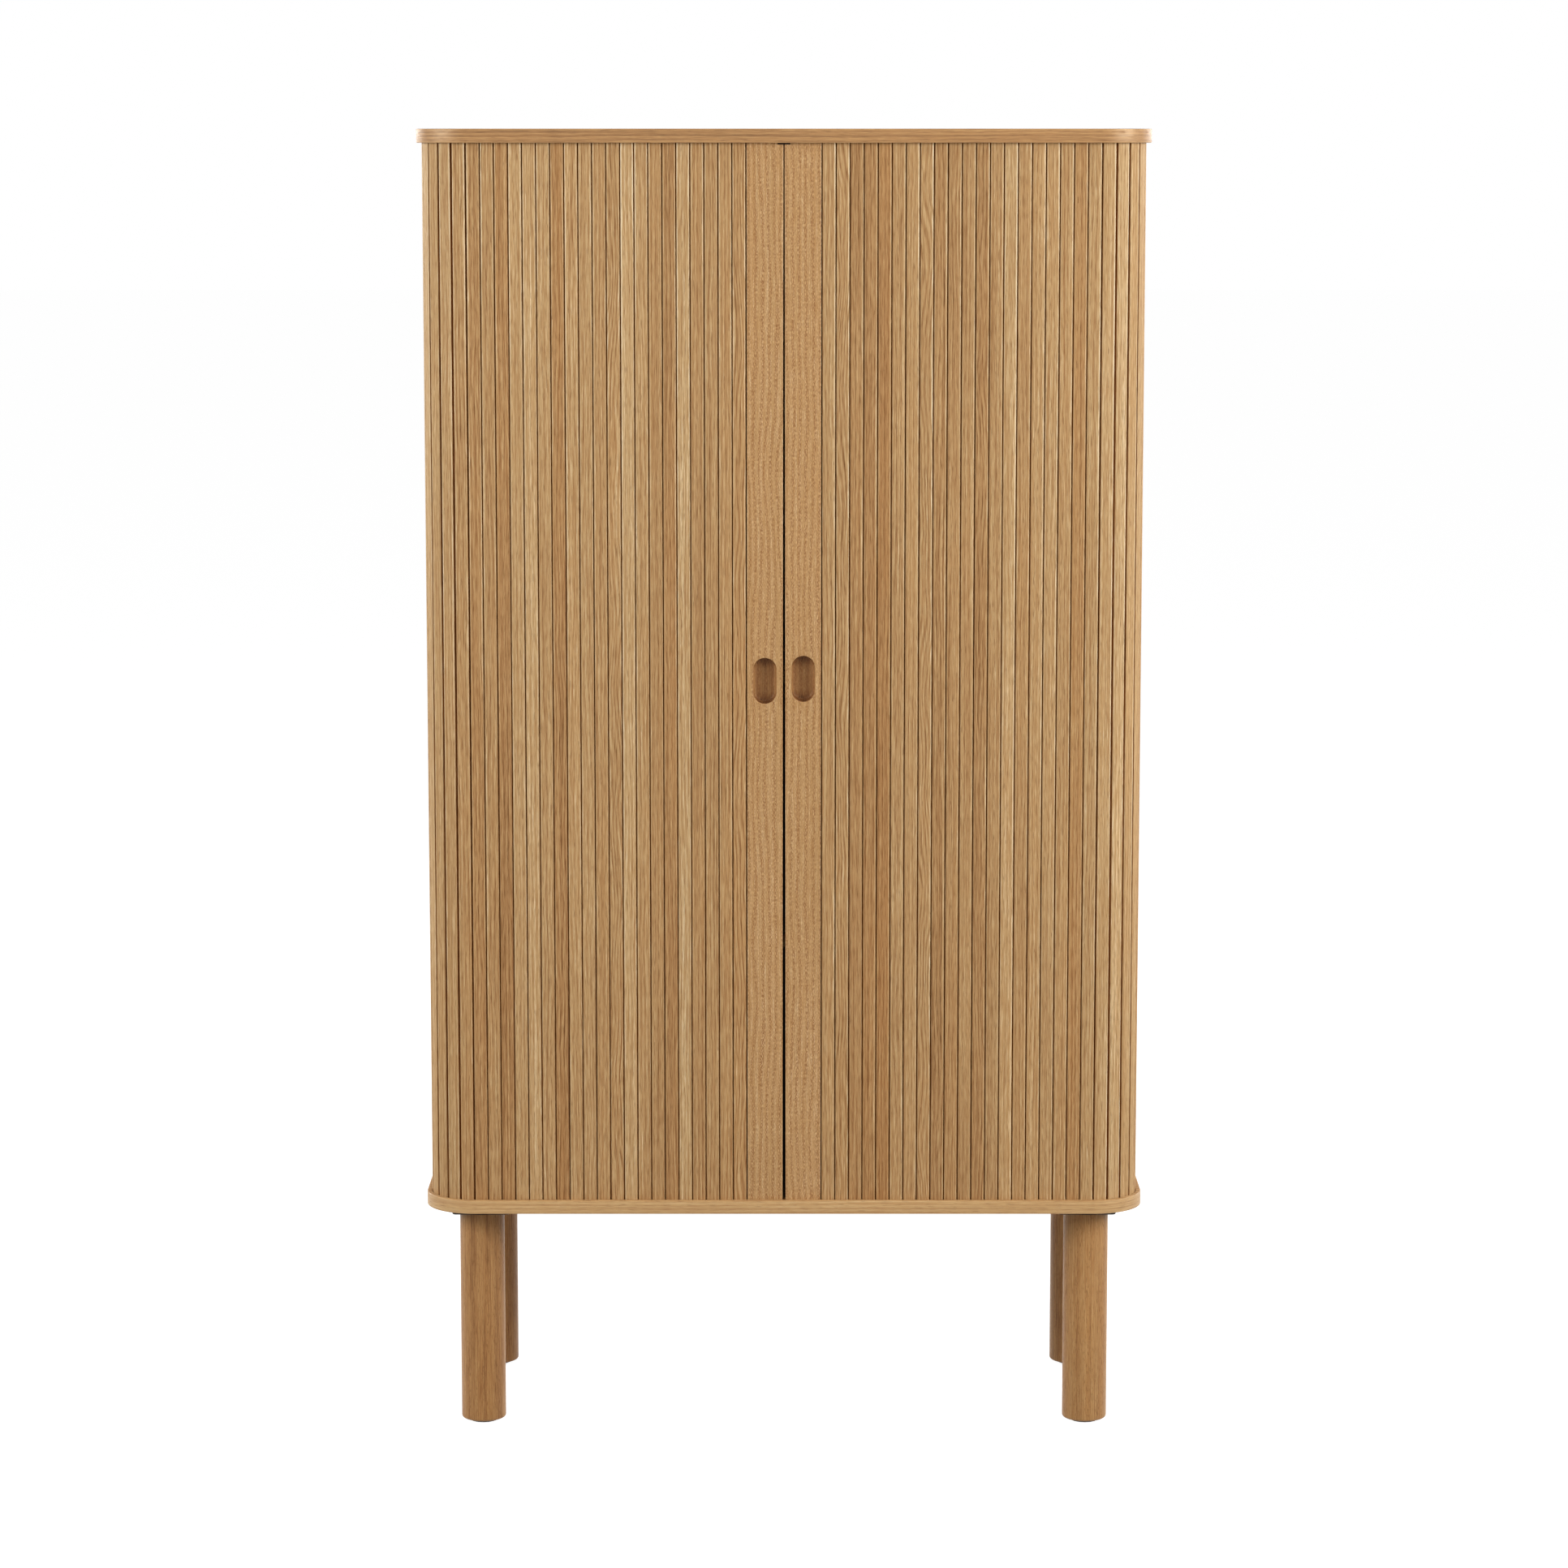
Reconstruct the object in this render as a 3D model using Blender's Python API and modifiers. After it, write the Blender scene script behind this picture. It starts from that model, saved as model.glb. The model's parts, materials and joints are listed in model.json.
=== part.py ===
"""Tambour cupboard on four round legs, built piece by piece at its real size.

Metres, +Z up, front at -Y. The origin is on the floor under the middle of the cupboard.
Each door is a curtain of oak slats on canvas. It runs in a groove round the two boards:
along the front, round the front corner, along the side and round the rear corner.
"""

import math

import bmesh
import bpy
from mathutils import Matrix, Vector

# Boards
WIDTH = 0.900
DEPTH = 0.400
BODY_HEIGHT = 1.310  # clear height between the two boards
BOARD_THICKNESS = 0.017
BOARD_EDGE_ROUND = 0.0008
BOARD_OVERHANG = 0.0067  # board edge beyond the face of the slats

# Curtain of slats
CURTAIN_RADIUS = 0.057  # face of the slats where they turn a corner
SLAT_PITCH = 0.017
SLAT_GAP = 0.0015
SLAT_THICKNESS = 0.004
SLAT_CHAMFER = 0.0006
CANVAS_THICKNESS = 0.0008
TAIL_SLATS = 3  # slats behind the rear corner when the door is shut
FRONT_STRIPS = 4  # pieces that the front run of one door is modelled in

# Groove that the curtain runs in
GROOVE_OUTER_PLAY = 0.0010
GROOVE_INNER_PLAY = 0.0005
TOP_GROOVE_FLOOR = 0.008
BOTTOM_GROOVE_FLOOR = 0.010
SLAT_TOP_PLAY = 0.0015

# Lead slats with their finger pulls
DOOR_GAP = 0.0022
LEAD_WIDTH = 0.0452  # from the door gap to the middle of the first slat gap
LEAD_THICKNESS = 0.018
LEAD_END_PLAY = 0.0008
LEAD_EDGE_ROUND = 0.0012
PULL_WIDTH = 0.0282
PULL_HEIGHT = 0.0563
PULL_FLOOR = 0.006  # wood left behind the pocket
PULL_INSET = 0.0225  # from the lead slat's inner edge to the middle of the pull
PULL_ABOVE_BOTTOM_BOARD = {"left": 0.6532, "right": 0.6557}

# Door stop under the top board
STOP_WIDTH = 0.015
STOP_HEIGHT = 0.0015
STOP_DEPTH = 0.018
STOP_SETBACK = 0.0012  # behind the face of the slats
STOP_PLAY = 0.0005

# Inner carcass
CHANNEL = 0.0035  # room between the curtain and the inner side
SIDE_THICKNESS = 0.016
SIDE_PAST_CORNER = 0.008  # how far the inner side reaches past the straight of the curtain
INNER_BACK_THICKNESS = 0.010
COVER_THICKNESS = 0.004
COVER_PLAY = 0.0015  # between the slats' face and the back cover
COVER_END_INSET = 0.006

# Shelves and their pins
SHELVES = 3
SHELF_THICKNESS = 0.016
SHELF_PLAY = 0.0008
SHELF_SETBACK = 0.008  # behind the back of the lead slats
PIN_RADIUS = 0.0025
PIN_HEAD_RADIUS = 0.0035
PIN_HEAD_LENGTH = 0.008
PIN_SHAFT_LENGTH = 0.009
PIN_HOLE_PLAY = 0.0003
PIN_INSET = 0.030  # from the inner side's front and rear edges
HOLE_SPACING = 0.032  # to the spare pin holes above and below each pin

# Legs
LEG_RADIUS = 0.028
LEG_LENGTH = 0.2684
LEG_EDGE_ROUND = 0.003
LEG_INSET_X = 0.0686  # from the board's edge to the leg's axis
LEG_INSET_Y = 0.065
PLATE_SIZE = 0.072
PLATE_CORNER = 0.012
PLATE_THICKNESS = 0.0095
GLIDE_RADIUS = 0.018
GLIDE_THICKNESS = 0.003
BOLT_RADIUS = 0.004
BOLT_PLAY = 0.0003
BOLT_IN_LEG = 0.034
BOLT_IN_BOARD = 0.010
BORE_SPARE = 0.001  # bore left beyond each end of the bolt

SEAT = 0.0003  # gap left between pieces that rest on each other
ARC_STEPS = 12
ROUND_STEPS = 40
SMALL_ROUND_STEPS = 16

# Heights
LEG_BOTTOM = GLIDE_THICKNESS + SEAT
LEG_TOP = LEG_BOTTOM + LEG_LENGTH
PLATE_BOTTOM = LEG_TOP + SEAT
BOTTOM_UNDER = PLATE_BOTTOM + PLATE_THICKNESS + SEAT
BOTTOM_TOP = BOTTOM_UNDER + BOARD_THICKNESS
TOP_UNDER = BOTTOM_TOP + BODY_HEIGHT
TOP_TOP = TOP_UNDER + BOARD_THICKNESS
SLAT_BOTTOM = BOTTOM_UNDER + BOTTOM_GROOVE_FLOOR + SEAT
SLAT_TOP = TOP_TOP - TOP_GROOVE_FLOOR - SLAT_TOP_PLAY

# Plan of the curtain: its corners turn about (CORNER_X, CORNER_Y) in all four quadrants
CORNER_X = WIDTH / 2 - BOARD_OVERHANG - CURTAIN_RADIUS
CORNER_Y = DEPTH / 2 - BOARD_OVERHANG - CURTAIN_RADIUS
FACE_Y = CORNER_Y + CURTAIN_RADIUS
BACK_RADIUS = CURTAIN_RADIUS - SLAT_THICKNESS
CANVAS_RADIUS = BACK_RADIUS - CANVAS_THICKNESS
LEAD_EDGE = DOOR_GAP / 2 + LEAD_WIDTH
FRONT_RUN = CORNER_X - LEAD_EDGE
CORNER_RUN = BACK_RADIUS * math.pi / 2
SIDE_RUN = 2 * CORNER_Y
FRONT_SLATS = round(FRONT_RUN / SLAT_PITCH)
PITCH = FRONT_RUN / FRONT_SLATS
FIRST_SIDE_SLAT = math.ceil((FRONT_RUN + CORNER_RUN) / PITCH - 0.5)
FIRST_REAR_SLAT = math.ceil((FRONT_RUN + CORNER_RUN + SIDE_RUN) / PITCH - 0.5)
FIRST_TAIL_SLAT = math.ceil((FRONT_RUN + 2 * CORNER_RUN + SIDE_RUN) / PITCH)

# Plan of the inner carcass
SIDE_OUTER_X = CORNER_X + CANVAS_RADIUS - CHANNEL
SIDE_INNER_X = SIDE_OUTER_X - SIDE_THICKNESS
SIDE_END_Y = CORNER_Y + SIDE_PAST_CORNER
LEAD_BACK_Y = -FACE_Y + LEAD_THICKNESS
SHELF_FRONT_Y = LEAD_BACK_Y + SHELF_SETBACK
SHELF_REAR_Y = SIDE_END_Y - INNER_BACK_THICKNESS - SHELF_PLAY
LEG_X = WIDTH / 2 - LEG_INSET_X
LEG_Y = DEPTH / 2 - LEG_INSET_Y

SIDES = {"left": -1, "right": 1}
ENDS = {"front": -1, "rear": 1}

# Colour, roughness and metallic value of each material
FINISHES = {
    "oak_board": ((0.48, 0.30, 0.14), 0.5, 0.0),
    "oak_slat": ((0.45, 0.27, 0.13), 0.5, 0.0),
    "oak_leg": ((0.38, 0.20, 0.08), 0.5, 0.0),
    "oak_panel": ((0.46, 0.29, 0.15), 0.6, 0.0),
    "black_metal": ((0.02, 0.02, 0.02), 0.5, 0.6),
    "zinc": ((0.60, 0.60, 0.60), 0.35, 1.0),
    "glide_plastic": ((0.05, 0.05, 0.05), 0.7, 0.0),
}


def start_empty():
    """Remove everything that the file opened with."""
    for thing in list(bpy.data.objects):
        bpy.data.objects.remove(thing, do_unlink=True)


def make_collections():
    """One collection for the cupboard and one for its cutters."""
    found = {}
    for name in ("tambour_cupboard", "cutters"):
        found[name] = bpy.data.collections.new(name)
        bpy.context.scene.collection.children.link(found[name])
    return found["tambour_cupboard"], found["cutters"]


def make_materials():
    """A Principled material for each finish."""
    made = {}
    for name, (colour, roughness, metallic) in FINISHES.items():
        material = bpy.data.materials.new(name)
        material.use_nodes = True
        shader = material.node_tree.nodes["Principled BSDF"]
        shader.inputs["Base Color"].default_value = (*colour, 1.0)
        shader.inputs["Roughness"].default_value = roughness
        shader.inputs["Metallic"].default_value = metallic
        material.diffuse_color = (*colour, 1.0)
        made[name] = material
    return made


start_empty()
PIECES, CUTTERS = make_collections()
MATERIALS = make_materials()


def add_piece(name, mesh, finish, location=(0, 0, 0)):
    """Put a mesh in the cupboard as one named piece."""
    piece = bpy.data.objects.new(name, mesh)
    piece.location = location
    if not mesh.materials:
        mesh.materials.append(MATERIALS[finish])
    PIECES.objects.link(piece)
    return piece


def add_cutter(name, mesh, location=(0, 0, 0)):
    """Put a mesh among the cutters, where it only shows as wire."""
    cutter = bpy.data.objects.new(name, mesh)
    cutter.location = location
    cutter.hide_render = True
    cutter.display_type = "WIRE"
    CUTTERS.objects.link(cutter)
    return cutter


def cut(piece, cutter):
    """Subtract a cutter from a piece."""
    boolean = piece.modifiers.new(cutter.name, "BOOLEAN")
    boolean.operation = "DIFFERENCE"
    boolean.solver = "EXACT"
    boolean.object = cutter


def prism(name, loops, low, high, turn=None):
    """Mesh of a flat outline, with the holes inside it, from low to high along its own Z."""
    curve = bpy.data.curves.new(name, "CURVE")
    curve.dimensions = "2D"
    curve.fill_mode = "BOTH"
    curve.extrude = (high - low) / 2
    for loop in loops:
        spline = curve.splines.new("POLY")
        spline.points.add(len(loop) - 1)
        spline.use_cyclic_u = True
        for point, (x, y) in zip(spline.points, loop):
            point.co = (x, y, 0, 1)
    outline = bpy.data.objects.new(name, curve)
    bpy.context.scene.collection.objects.link(outline)
    bpy.context.view_layer.update()
    evaluated = outline.evaluated_get(bpy.context.evaluated_depsgraph_get())
    mesh = bpy.data.meshes.new_from_object(evaluated)
    bpy.data.objects.remove(outline)
    bpy.data.curves.remove(curve)
    solid = bmesh.new()
    solid.from_mesh(mesh)
    bmesh.ops.remove_doubles(solid, verts=solid.verts, dist=0.00001)
    bmesh.ops.translate(solid, verts=solid.verts, vec=(0, 0, (low + high) / 2))
    if turn:
        bmesh.ops.transform(solid, matrix=turn, verts=solid.verts)
    bmesh.ops.recalc_face_normals(solid, faces=solid.faces)
    solid.to_mesh(mesh)
    solid.free()
    mesh.name = name
    mesh.materials.clear()
    return mesh


def block(name, low, high):
    """Mesh of a box between two corners."""
    solid = bmesh.new()
    bmesh.ops.create_cube(solid, size=1.0)
    low = Vector(low)
    high = Vector(high)
    bmesh.ops.scale(solid, vec=high - low, verts=solid.verts)
    bmesh.ops.translate(solid, vec=(low + high) / 2, verts=solid.verts)
    mesh = bpy.data.meshes.new(name)
    solid.to_mesh(mesh)
    solid.free()
    return mesh


def turned(name, profile, steps, turn=None):
    """Mesh of a profile of (radius, height) points spun about Z, starting and ending on the axis."""
    solid = bmesh.new()
    points = [solid.verts.new((radius, 0, height)) for radius, height in profile]
    edges = [solid.edges.new(pair) for pair in zip(points, points[1:])]
    bmesh.ops.spin(
        solid,
        geom=points + edges,
        axis=(0, 0, 1),
        cent=(0, 0, 0),
        steps=steps,
        angle=2 * math.pi,
    )
    bmesh.ops.remove_doubles(solid, verts=solid.verts, dist=0.00001)
    if turn:
        bmesh.ops.transform(solid, matrix=turn, verts=solid.verts)
    bmesh.ops.recalc_face_normals(solid, faces=solid.faces)
    mesh = bpy.data.meshes.new(name)
    solid.to_mesh(mesh)
    solid.free()
    mesh.shade_smooth()
    mesh.set_sharp_from_angle(angle=math.radians(30))
    return mesh


def rounded_rectangle(half_x, half_y, radius, steps=ARC_STEPS, middle=(0, 0)):
    """Outline of a rectangle with round corners, anticlockwise."""
    points = []
    quadrants = ((1, 1), (-1, 1), (-1, -1), (1, -1))
    for quadrant, (sign_x, sign_y) in enumerate(quadrants):
        for step in range(steps + 1):
            angle = math.pi / 2 * (quadrant + step / steps)
            x = middle[0] + sign_x * (half_x - radius) + radius * math.cos(angle)
            y = middle[1] + sign_y * (half_y - radius) + radius * math.sin(angle)
            points.append((x, y))
    return points


def circle(radius, steps):
    """Outline of a circle about the origin."""
    angles = [2 * math.pi * step / steps for step in range(steps)]
    return [(radius * math.cos(angle), radius * math.sin(angle)) for angle in angles]


def stadium(half_width, half_height, middle):
    """Outline of an upright slot with half-round ends."""
    points = []
    for end, start in ((1, 0.0), (-1, math.pi)):
        for step in range(ARC_STEPS + 1):
            angle = start + math.pi * step / ARC_STEPS
            x = middle[0] + half_width * math.cos(angle)
            z = middle[1] + end * (half_height - half_width) + half_width * math.sin(angle)
            points.append((x, z))
    return points


def ring_about_corners(radius):
    """Outline that runs round all four corner centres at one radius."""
    return rounded_rectangle(CORNER_X + radius, CORNER_Y + radius, radius)


def board(name, under, groove_low, groove_high):
    """A round-cornered board with the curtain's groove cut in one face."""
    outline = ring_about_corners(CURTAIN_RADIUS + BOARD_OVERHANG)
    piece = add_piece(
        name, prism(name, [outline], under, under + BOARD_THICKNESS), "oak_board"
    )
    rim = piece.modifiers.new("edge_round", "BEVEL")
    rim.width = BOARD_EDGE_ROUND
    rim.segments = 2
    rim.limit_method = "ANGLE"
    rim.angle_limit = math.radians(30)
    groove = [
        ring_about_corners(CURTAIN_RADIUS + GROOVE_OUTER_PLAY),
        ring_about_corners(CANVAS_RADIUS - GROOVE_INNER_PLAY),
    ]
    cutter_name = name + "_groove"
    cutter = add_cutter(cutter_name, prism(cutter_name, groove, groove_low, groove_high))
    cut(piece, cutter)
    return piece


def make_boards():
    """Top and bottom board, the bottom one bored for the leg bolts."""
    board("top_board", TOP_UNDER, TOP_UNDER - BOARD_THICKNESS, TOP_TOP - TOP_GROOVE_FLOOR)
    bottom = board(
        "bottom_board",
        BOTTOM_UNDER,
        BOTTOM_UNDER + BOTTOM_GROOVE_FLOOR,
        BOTTOM_TOP + BOARD_THICKNESS,
    )
    bore_radius = BOLT_RADIUS + BOLT_PLAY
    bore = prism(
        "leg_bore",
        [circle(bore_radius, SMALL_ROUND_STEPS)],
        BOTTOM_UNDER - BOARD_THICKNESS,
        BOTTOM_UNDER + BOLT_IN_BOARD + BORE_SPARE,
    )
    for end, sign_y in ENDS.items():
        for side, sign_x in SIDES.items():
            place = (sign_x * LEG_X, sign_y * LEG_Y, 0)
            cut(bottom, add_cutter(f"leg_bore_{end}_{side}", bore, place))


def curtain_point(run):
    """Point and heading on the back of the slats, a length along the right-hand curtain."""
    if run <= FRONT_RUN:
        return Vector((LEAD_EDGE + run, -CORNER_Y - BACK_RADIUS)), 0.0
    run -= FRONT_RUN
    if run <= CORNER_RUN:
        angle = run / BACK_RADIUS
        turned_by = Vector((math.sin(angle), -math.cos(angle))) * BACK_RADIUS
        return Vector((CORNER_X, -CORNER_Y)) + turned_by, angle
    run -= CORNER_RUN
    if run <= SIDE_RUN:
        return Vector((CORNER_X + BACK_RADIUS, run - CORNER_Y)), math.pi / 2
    run -= SIDE_RUN
    if run <= CORNER_RUN:
        angle = run / BACK_RADIUS
        turned_by = Vector((math.cos(angle), math.sin(angle))) * BACK_RADIUS
        return Vector((CORNER_X, CORNER_Y)) + turned_by, math.pi / 2 + angle
    run -= CORNER_RUN
    return Vector((CORNER_X - run, CORNER_Y + BACK_RADIUS)), math.pi


def slat_frame(index):
    """Middle of a slat's back, the direction along the curtain, and the direction out of it."""
    middle, heading = curtain_point((index + 0.5) * PITCH)
    along = Vector((math.cos(heading), math.sin(heading)))
    outward = Vector((math.sin(heading), -math.cos(heading)))
    return middle, along, outward


def strip_outline(first, last):
    """Plan of slats first to last on their canvas, for the right-hand door."""
    half = (PITCH - SLAT_GAP) / 2
    reach = half + (SLAT_GAP - SEAT) / 2
    shoulder = SLAT_THICKNESS - SLAT_CHAMFER
    face = half - SLAT_CHAMFER
    profile = (
        (-half, 0.0),
        (-half, shoulder),
        (-face, SLAT_THICKNESS),
        (face, SLAT_THICKNESS),
        (half, shoulder),
        (half, 0.0),
    )
    outer = []
    inner = []
    for index in range(first, last + 1):
        middle, along, outward = slat_frame(index)
        start = -reach if index == first else -half
        end = reach if index == last else half
        if index == first:
            outer.append(middle + along * start)
        outer += [middle + along * u + outward * v for u, v in profile]
        if index == last:
            outer.append(middle + along * end)
        inner += [middle + along * u - outward * CANVAS_THICKNESS for u in (start, end)]
    return outer + inner[::-1]


def slat_strip(name, side, first, last):
    """Slats first to last of one door, glued to their canvas."""
    outline = [(SIDES[side] * point.x, point.y) for point in strip_outline(first, last)]
    return add_piece(name, prism(name, [outline], SLAT_BOTTOM, SLAT_TOP), "oak_slat")


def make_curtain(side):
    """All the slats of one door but the lead slat. Gives the first slat and the tail."""
    first_slat = slat_strip(f"first_slat_{side}", side, 0, 0)
    riding_from = 1
    left_over = FRONT_SLATS - riding_from
    for strip in range(FRONT_STRIPS):
        count = math.ceil(left_over / (FRONT_STRIPS - strip))
        name = f"front_slats_{side}_{strip + 1}"
        slat_strip(name, side, riding_from, riding_from + count - 1)
        riding_from += count
        left_over -= count
    slat_strip(f"corner_slats_{side}", side, FRONT_SLATS, FIRST_SIDE_SLAT - 1)
    slat_strip(f"side_slats_{side}", side, FIRST_SIDE_SLAT, FIRST_REAR_SLAT - 1)
    slat_strip(f"rear_corner_slats_{side}", side, FIRST_REAR_SLAT, FIRST_TAIL_SLAT - 1)
    last_tail_slat = FIRST_TAIL_SLAT + TAIL_SLATS - 1
    tail = slat_strip(f"tail_slats_{side}", side, FIRST_TAIL_SLAT, last_tail_slat)
    return first_slat, tail


def round_front_edges(mesh):
    """Round the upright edges on the front face of a lead slat."""
    solid = bmesh.new()
    solid.from_mesh(mesh)
    front = min(vertex.co.y for vertex in solid.verts)
    upright = [
        edge
        for edge in solid.edges
        if all(abs(vertex.co.y - front) < SEAT for vertex in edge.verts)
        and abs(edge.verts[0].co.x - edge.verts[1].co.x) < SEAT
        and len(edge.link_faces) == 2
        and edge.calc_face_angle() > math.radians(45)
    ]
    bmesh.ops.bevel(
        solid, geom=upright, offset=LEAD_EDGE_ROUND, segments=2, profile=0.5, affect="EDGES"
    )
    solid.to_mesh(mesh)
    solid.free()


def lead_slat(side):
    """The wide lead slat: thick between the boards, thinned to tongues in their grooves."""
    name = f"lead_slat_{side}"
    sign = SIDES[side]
    tongue_y = -FACE_Y + SLAT_THICKNESS + CANVAS_THICKNESS
    body_low = BOTTOM_TOP + LEAD_END_PLAY
    body_high = TOP_UNDER - LEAD_END_PLAY
    outline = [
        (-FACE_Y, SLAT_BOTTOM),
        (tongue_y, SLAT_BOTTOM),
        (tongue_y, body_low),
        (LEAD_BACK_Y, body_low),
        (LEAD_BACK_Y, body_high),
        (tongue_y, body_high),
        (tongue_y, SLAT_TOP),
        (-FACE_Y, SLAT_TOP),
    ]
    ends = sorted((sign * DOOR_GAP / 2, sign * (LEAD_EDGE - SLAT_GAP / 2)))
    y_z_outline_along_x = Matrix(((0, 0, 1, 0), (1, 0, 0, 0), (0, 1, 0, 0), (0, 0, 0, 1)))
    mesh = prism(name, [outline], *ends, turn=y_z_outline_along_x)
    round_front_edges(mesh)
    piece = add_piece(name, mesh, "oak_slat")

    pull_x = sign * (DOOR_GAP / 2 + PULL_INSET)
    pull_z = BOTTOM_TOP + PULL_ABOVE_BOTTOM_BOARD[side]
    pull = stadium(PULL_WIDTH / 2, PULL_HEIGHT / 2, (pull_x, pull_z))
    pocket = prism(
        f"pull_{side}",
        [pull],
        -(LEAD_BACK_Y - PULL_FLOOR),
        FACE_Y + LEAD_THICKNESS,
        turn=Matrix.Rotation(math.pi / 2, 4, "X"),
    )
    cut(piece, add_cutter(f"pull_{side}", pocket))

    notch = block(
        f"stop_notch_{side}",
        (-STOP_WIDTH / 2 - STOP_PLAY, -FACE_Y - STOP_DEPTH, TOP_UNDER - STOP_HEIGHT - STOP_PLAY),
        (STOP_WIDTH / 2 + STOP_PLAY, LEAD_BACK_Y + STOP_DEPTH, TOP_TOP),
    )
    cut(piece, add_cutter(f"stop_notch_{side}", notch))
    return piece


def make_door_stop():
    """Flat stop under the top board, between notches in the two lead slats."""
    front = -FACE_Y + STOP_SETBACK
    high = TOP_UNDER - SEAT
    mesh = block(
        "door_stop",
        (-STOP_WIDTH / 2, front, high - STOP_HEIGHT),
        (STOP_WIDTH / 2, front + STOP_DEPTH, high),
    )
    add_piece("door_stop", mesh, "black_metal")


def carry(name, location, pieces):
    """Hang the pieces that move together on one empty on their joint."""
    guide = bpy.data.objects.new(name, None)
    guide.location = location
    guide.empty_display_size = BOARD_THICKNESS
    PIECES.objects.link(guide)
    for piece in pieces:
        piece.parent = guide
        piece.matrix_parent_inverse = Matrix.Translation(location).inverted()


def make_doors():
    """Both doors, each with its curtain, lead slat and tail."""
    track_y = CORNER_Y + BACK_RADIUS
    for side, sign in SIDES.items():
        first_slat, tail = make_curtain(side)
        lead = lead_slat(side)
        carry(f"{side}_door_slide", (sign * LEAD_EDGE, -track_y, BOTTOM_TOP), [lead, first_slat])
        carry(f"{side}_tail_slide", (sign * CORNER_X, track_y, BOTTOM_TOP), [tail])


def shelf_bottoms():
    """Height of the underside of each shelf, evenly spaced."""
    clear = (BODY_HEIGHT - SHELVES * SHELF_THICKNESS) / (SHELVES + 1)
    step = clear + SHELF_THICKNESS
    return [BOTTOM_TOP + clear + index * step for index in range(SHELVES)]


def pin_places():
    """Name, side, y and z of each shelf pin."""
    places = []
    for number, under in enumerate(shelf_bottoms(), start=1):
        for side in SIDES:
            for end, sign in ENDS.items():
                y = sign * (SIDE_END_Y - PIN_INSET)
                z = under - SEAT - PIN_HEAD_RADIUS
                places.append((f"shelf_pin_{number}_{end}_{side}", side, y, z))
    return places


def make_carcass():
    """Inner sides with their pin holes, the inner back, and the cover behind the curtain."""
    low = BOTTOM_TOP + SEAT
    high = TOP_UNDER - SEAT
    hole_depth = PIN_SHAFT_LENGTH + BORE_SPARE
    hole = prism(
        "pin_hole",
        [circle(PIN_RADIUS + PIN_HOLE_PLAY, SMALL_ROUND_STEPS)],
        -SIDE_THICKNESS,
        hole_depth,
        turn=Matrix.Rotation(math.pi / 2, 4, "Y"),
    )
    spare_holes = (-HOLE_SPACING, 0.0, HOLE_SPACING)
    for side, sign in SIDES.items():
        name = f"inner_side_{side}"
        inner, outer = sorted((sign * SIDE_INNER_X, sign * SIDE_OUTER_X))
        mesh = block(name, (inner, -SIDE_END_Y, low), (outer, SIDE_END_Y, high))
        panel = add_piece(name, mesh, "oak_panel")
        own_pins = [place for place in pin_places() if place[1] == side]
        for pin_name, _, y, z in own_pins:
            for rise in spare_holes:
                place = (sign * SIDE_INNER_X, y, z + rise)
                cutter = add_cutter(pin_name + "_hole", hole, place)
                cutter.rotation_euler.z = 0.0 if sign > 0 else math.pi
                cut(panel, cutter)
    back_x = SIDE_INNER_X - SEAT
    mesh = block(
        "inner_back",
        (-back_x, SIDE_END_Y - INNER_BACK_THICKNESS, low),
        (back_x, SIDE_END_Y, high),
    )
    add_piece("inner_back", mesh, "oak_panel")
    cover_x = CORNER_X - COVER_END_INSET
    cover_y = FACE_Y + COVER_PLAY
    mesh = block(
        "back_cover", (-cover_x, cover_y, low), (cover_x, cover_y + COVER_THICKNESS, high)
    )
    add_piece("back_cover", mesh, "oak_panel")


def make_shelves():
    """Adjustable shelves, each on four pins."""
    half_x = SIDE_INNER_X - SHELF_PLAY
    for number, under in enumerate(shelf_bottoms(), start=1):
        name = f"shelf_{number}"
        mesh = block(
            name,
            (-half_x, SHELF_FRONT_Y, under),
            (half_x, SHELF_REAR_Y, under + SHELF_THICKNESS),
        )
        add_piece(name, mesh, "oak_panel")
    pin = turned(
        "shelf_pin",
        [
            (0, -PIN_HEAD_LENGTH),
            (PIN_HEAD_RADIUS, -PIN_HEAD_LENGTH),
            (PIN_HEAD_RADIUS, -SEAT),
            (PIN_RADIUS, -SEAT),
            (PIN_RADIUS, PIN_SHAFT_LENGTH),
            (0, PIN_SHAFT_LENGTH),
        ],
        SMALL_ROUND_STEPS,
        turn=Matrix.Rotation(math.pi / 2, 4, "Y"),
    )
    for name, side, y, z in pin_places():
        sign = SIDES[side]
        piece = add_piece(name, pin, "zinc", (sign * SIDE_INNER_X, y, z))
        piece.rotation_euler.z = 0.0 if sign > 0 else math.pi


def leg_profile():
    """Half section of a leg: rounded at the foot and bored at the top for its bolt."""
    points = [(0.0, LEG_BOTTOM)]
    for step in range(4):
        angle = math.pi / 6 * step
        radius = LEG_RADIUS - LEG_EDGE_ROUND * (1 - math.sin(angle))
        points.append((radius, LEG_BOTTOM + LEG_EDGE_ROUND * (1 - math.cos(angle))))
    bore = BOLT_RADIUS + BOLT_PLAY
    bore_floor = LEG_TOP - BOLT_IN_LEG - BORE_SPARE
    return points + [(LEG_RADIUS, LEG_TOP), (bore, LEG_TOP), (bore, bore_floor), (0.0, bore_floor)]


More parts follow.
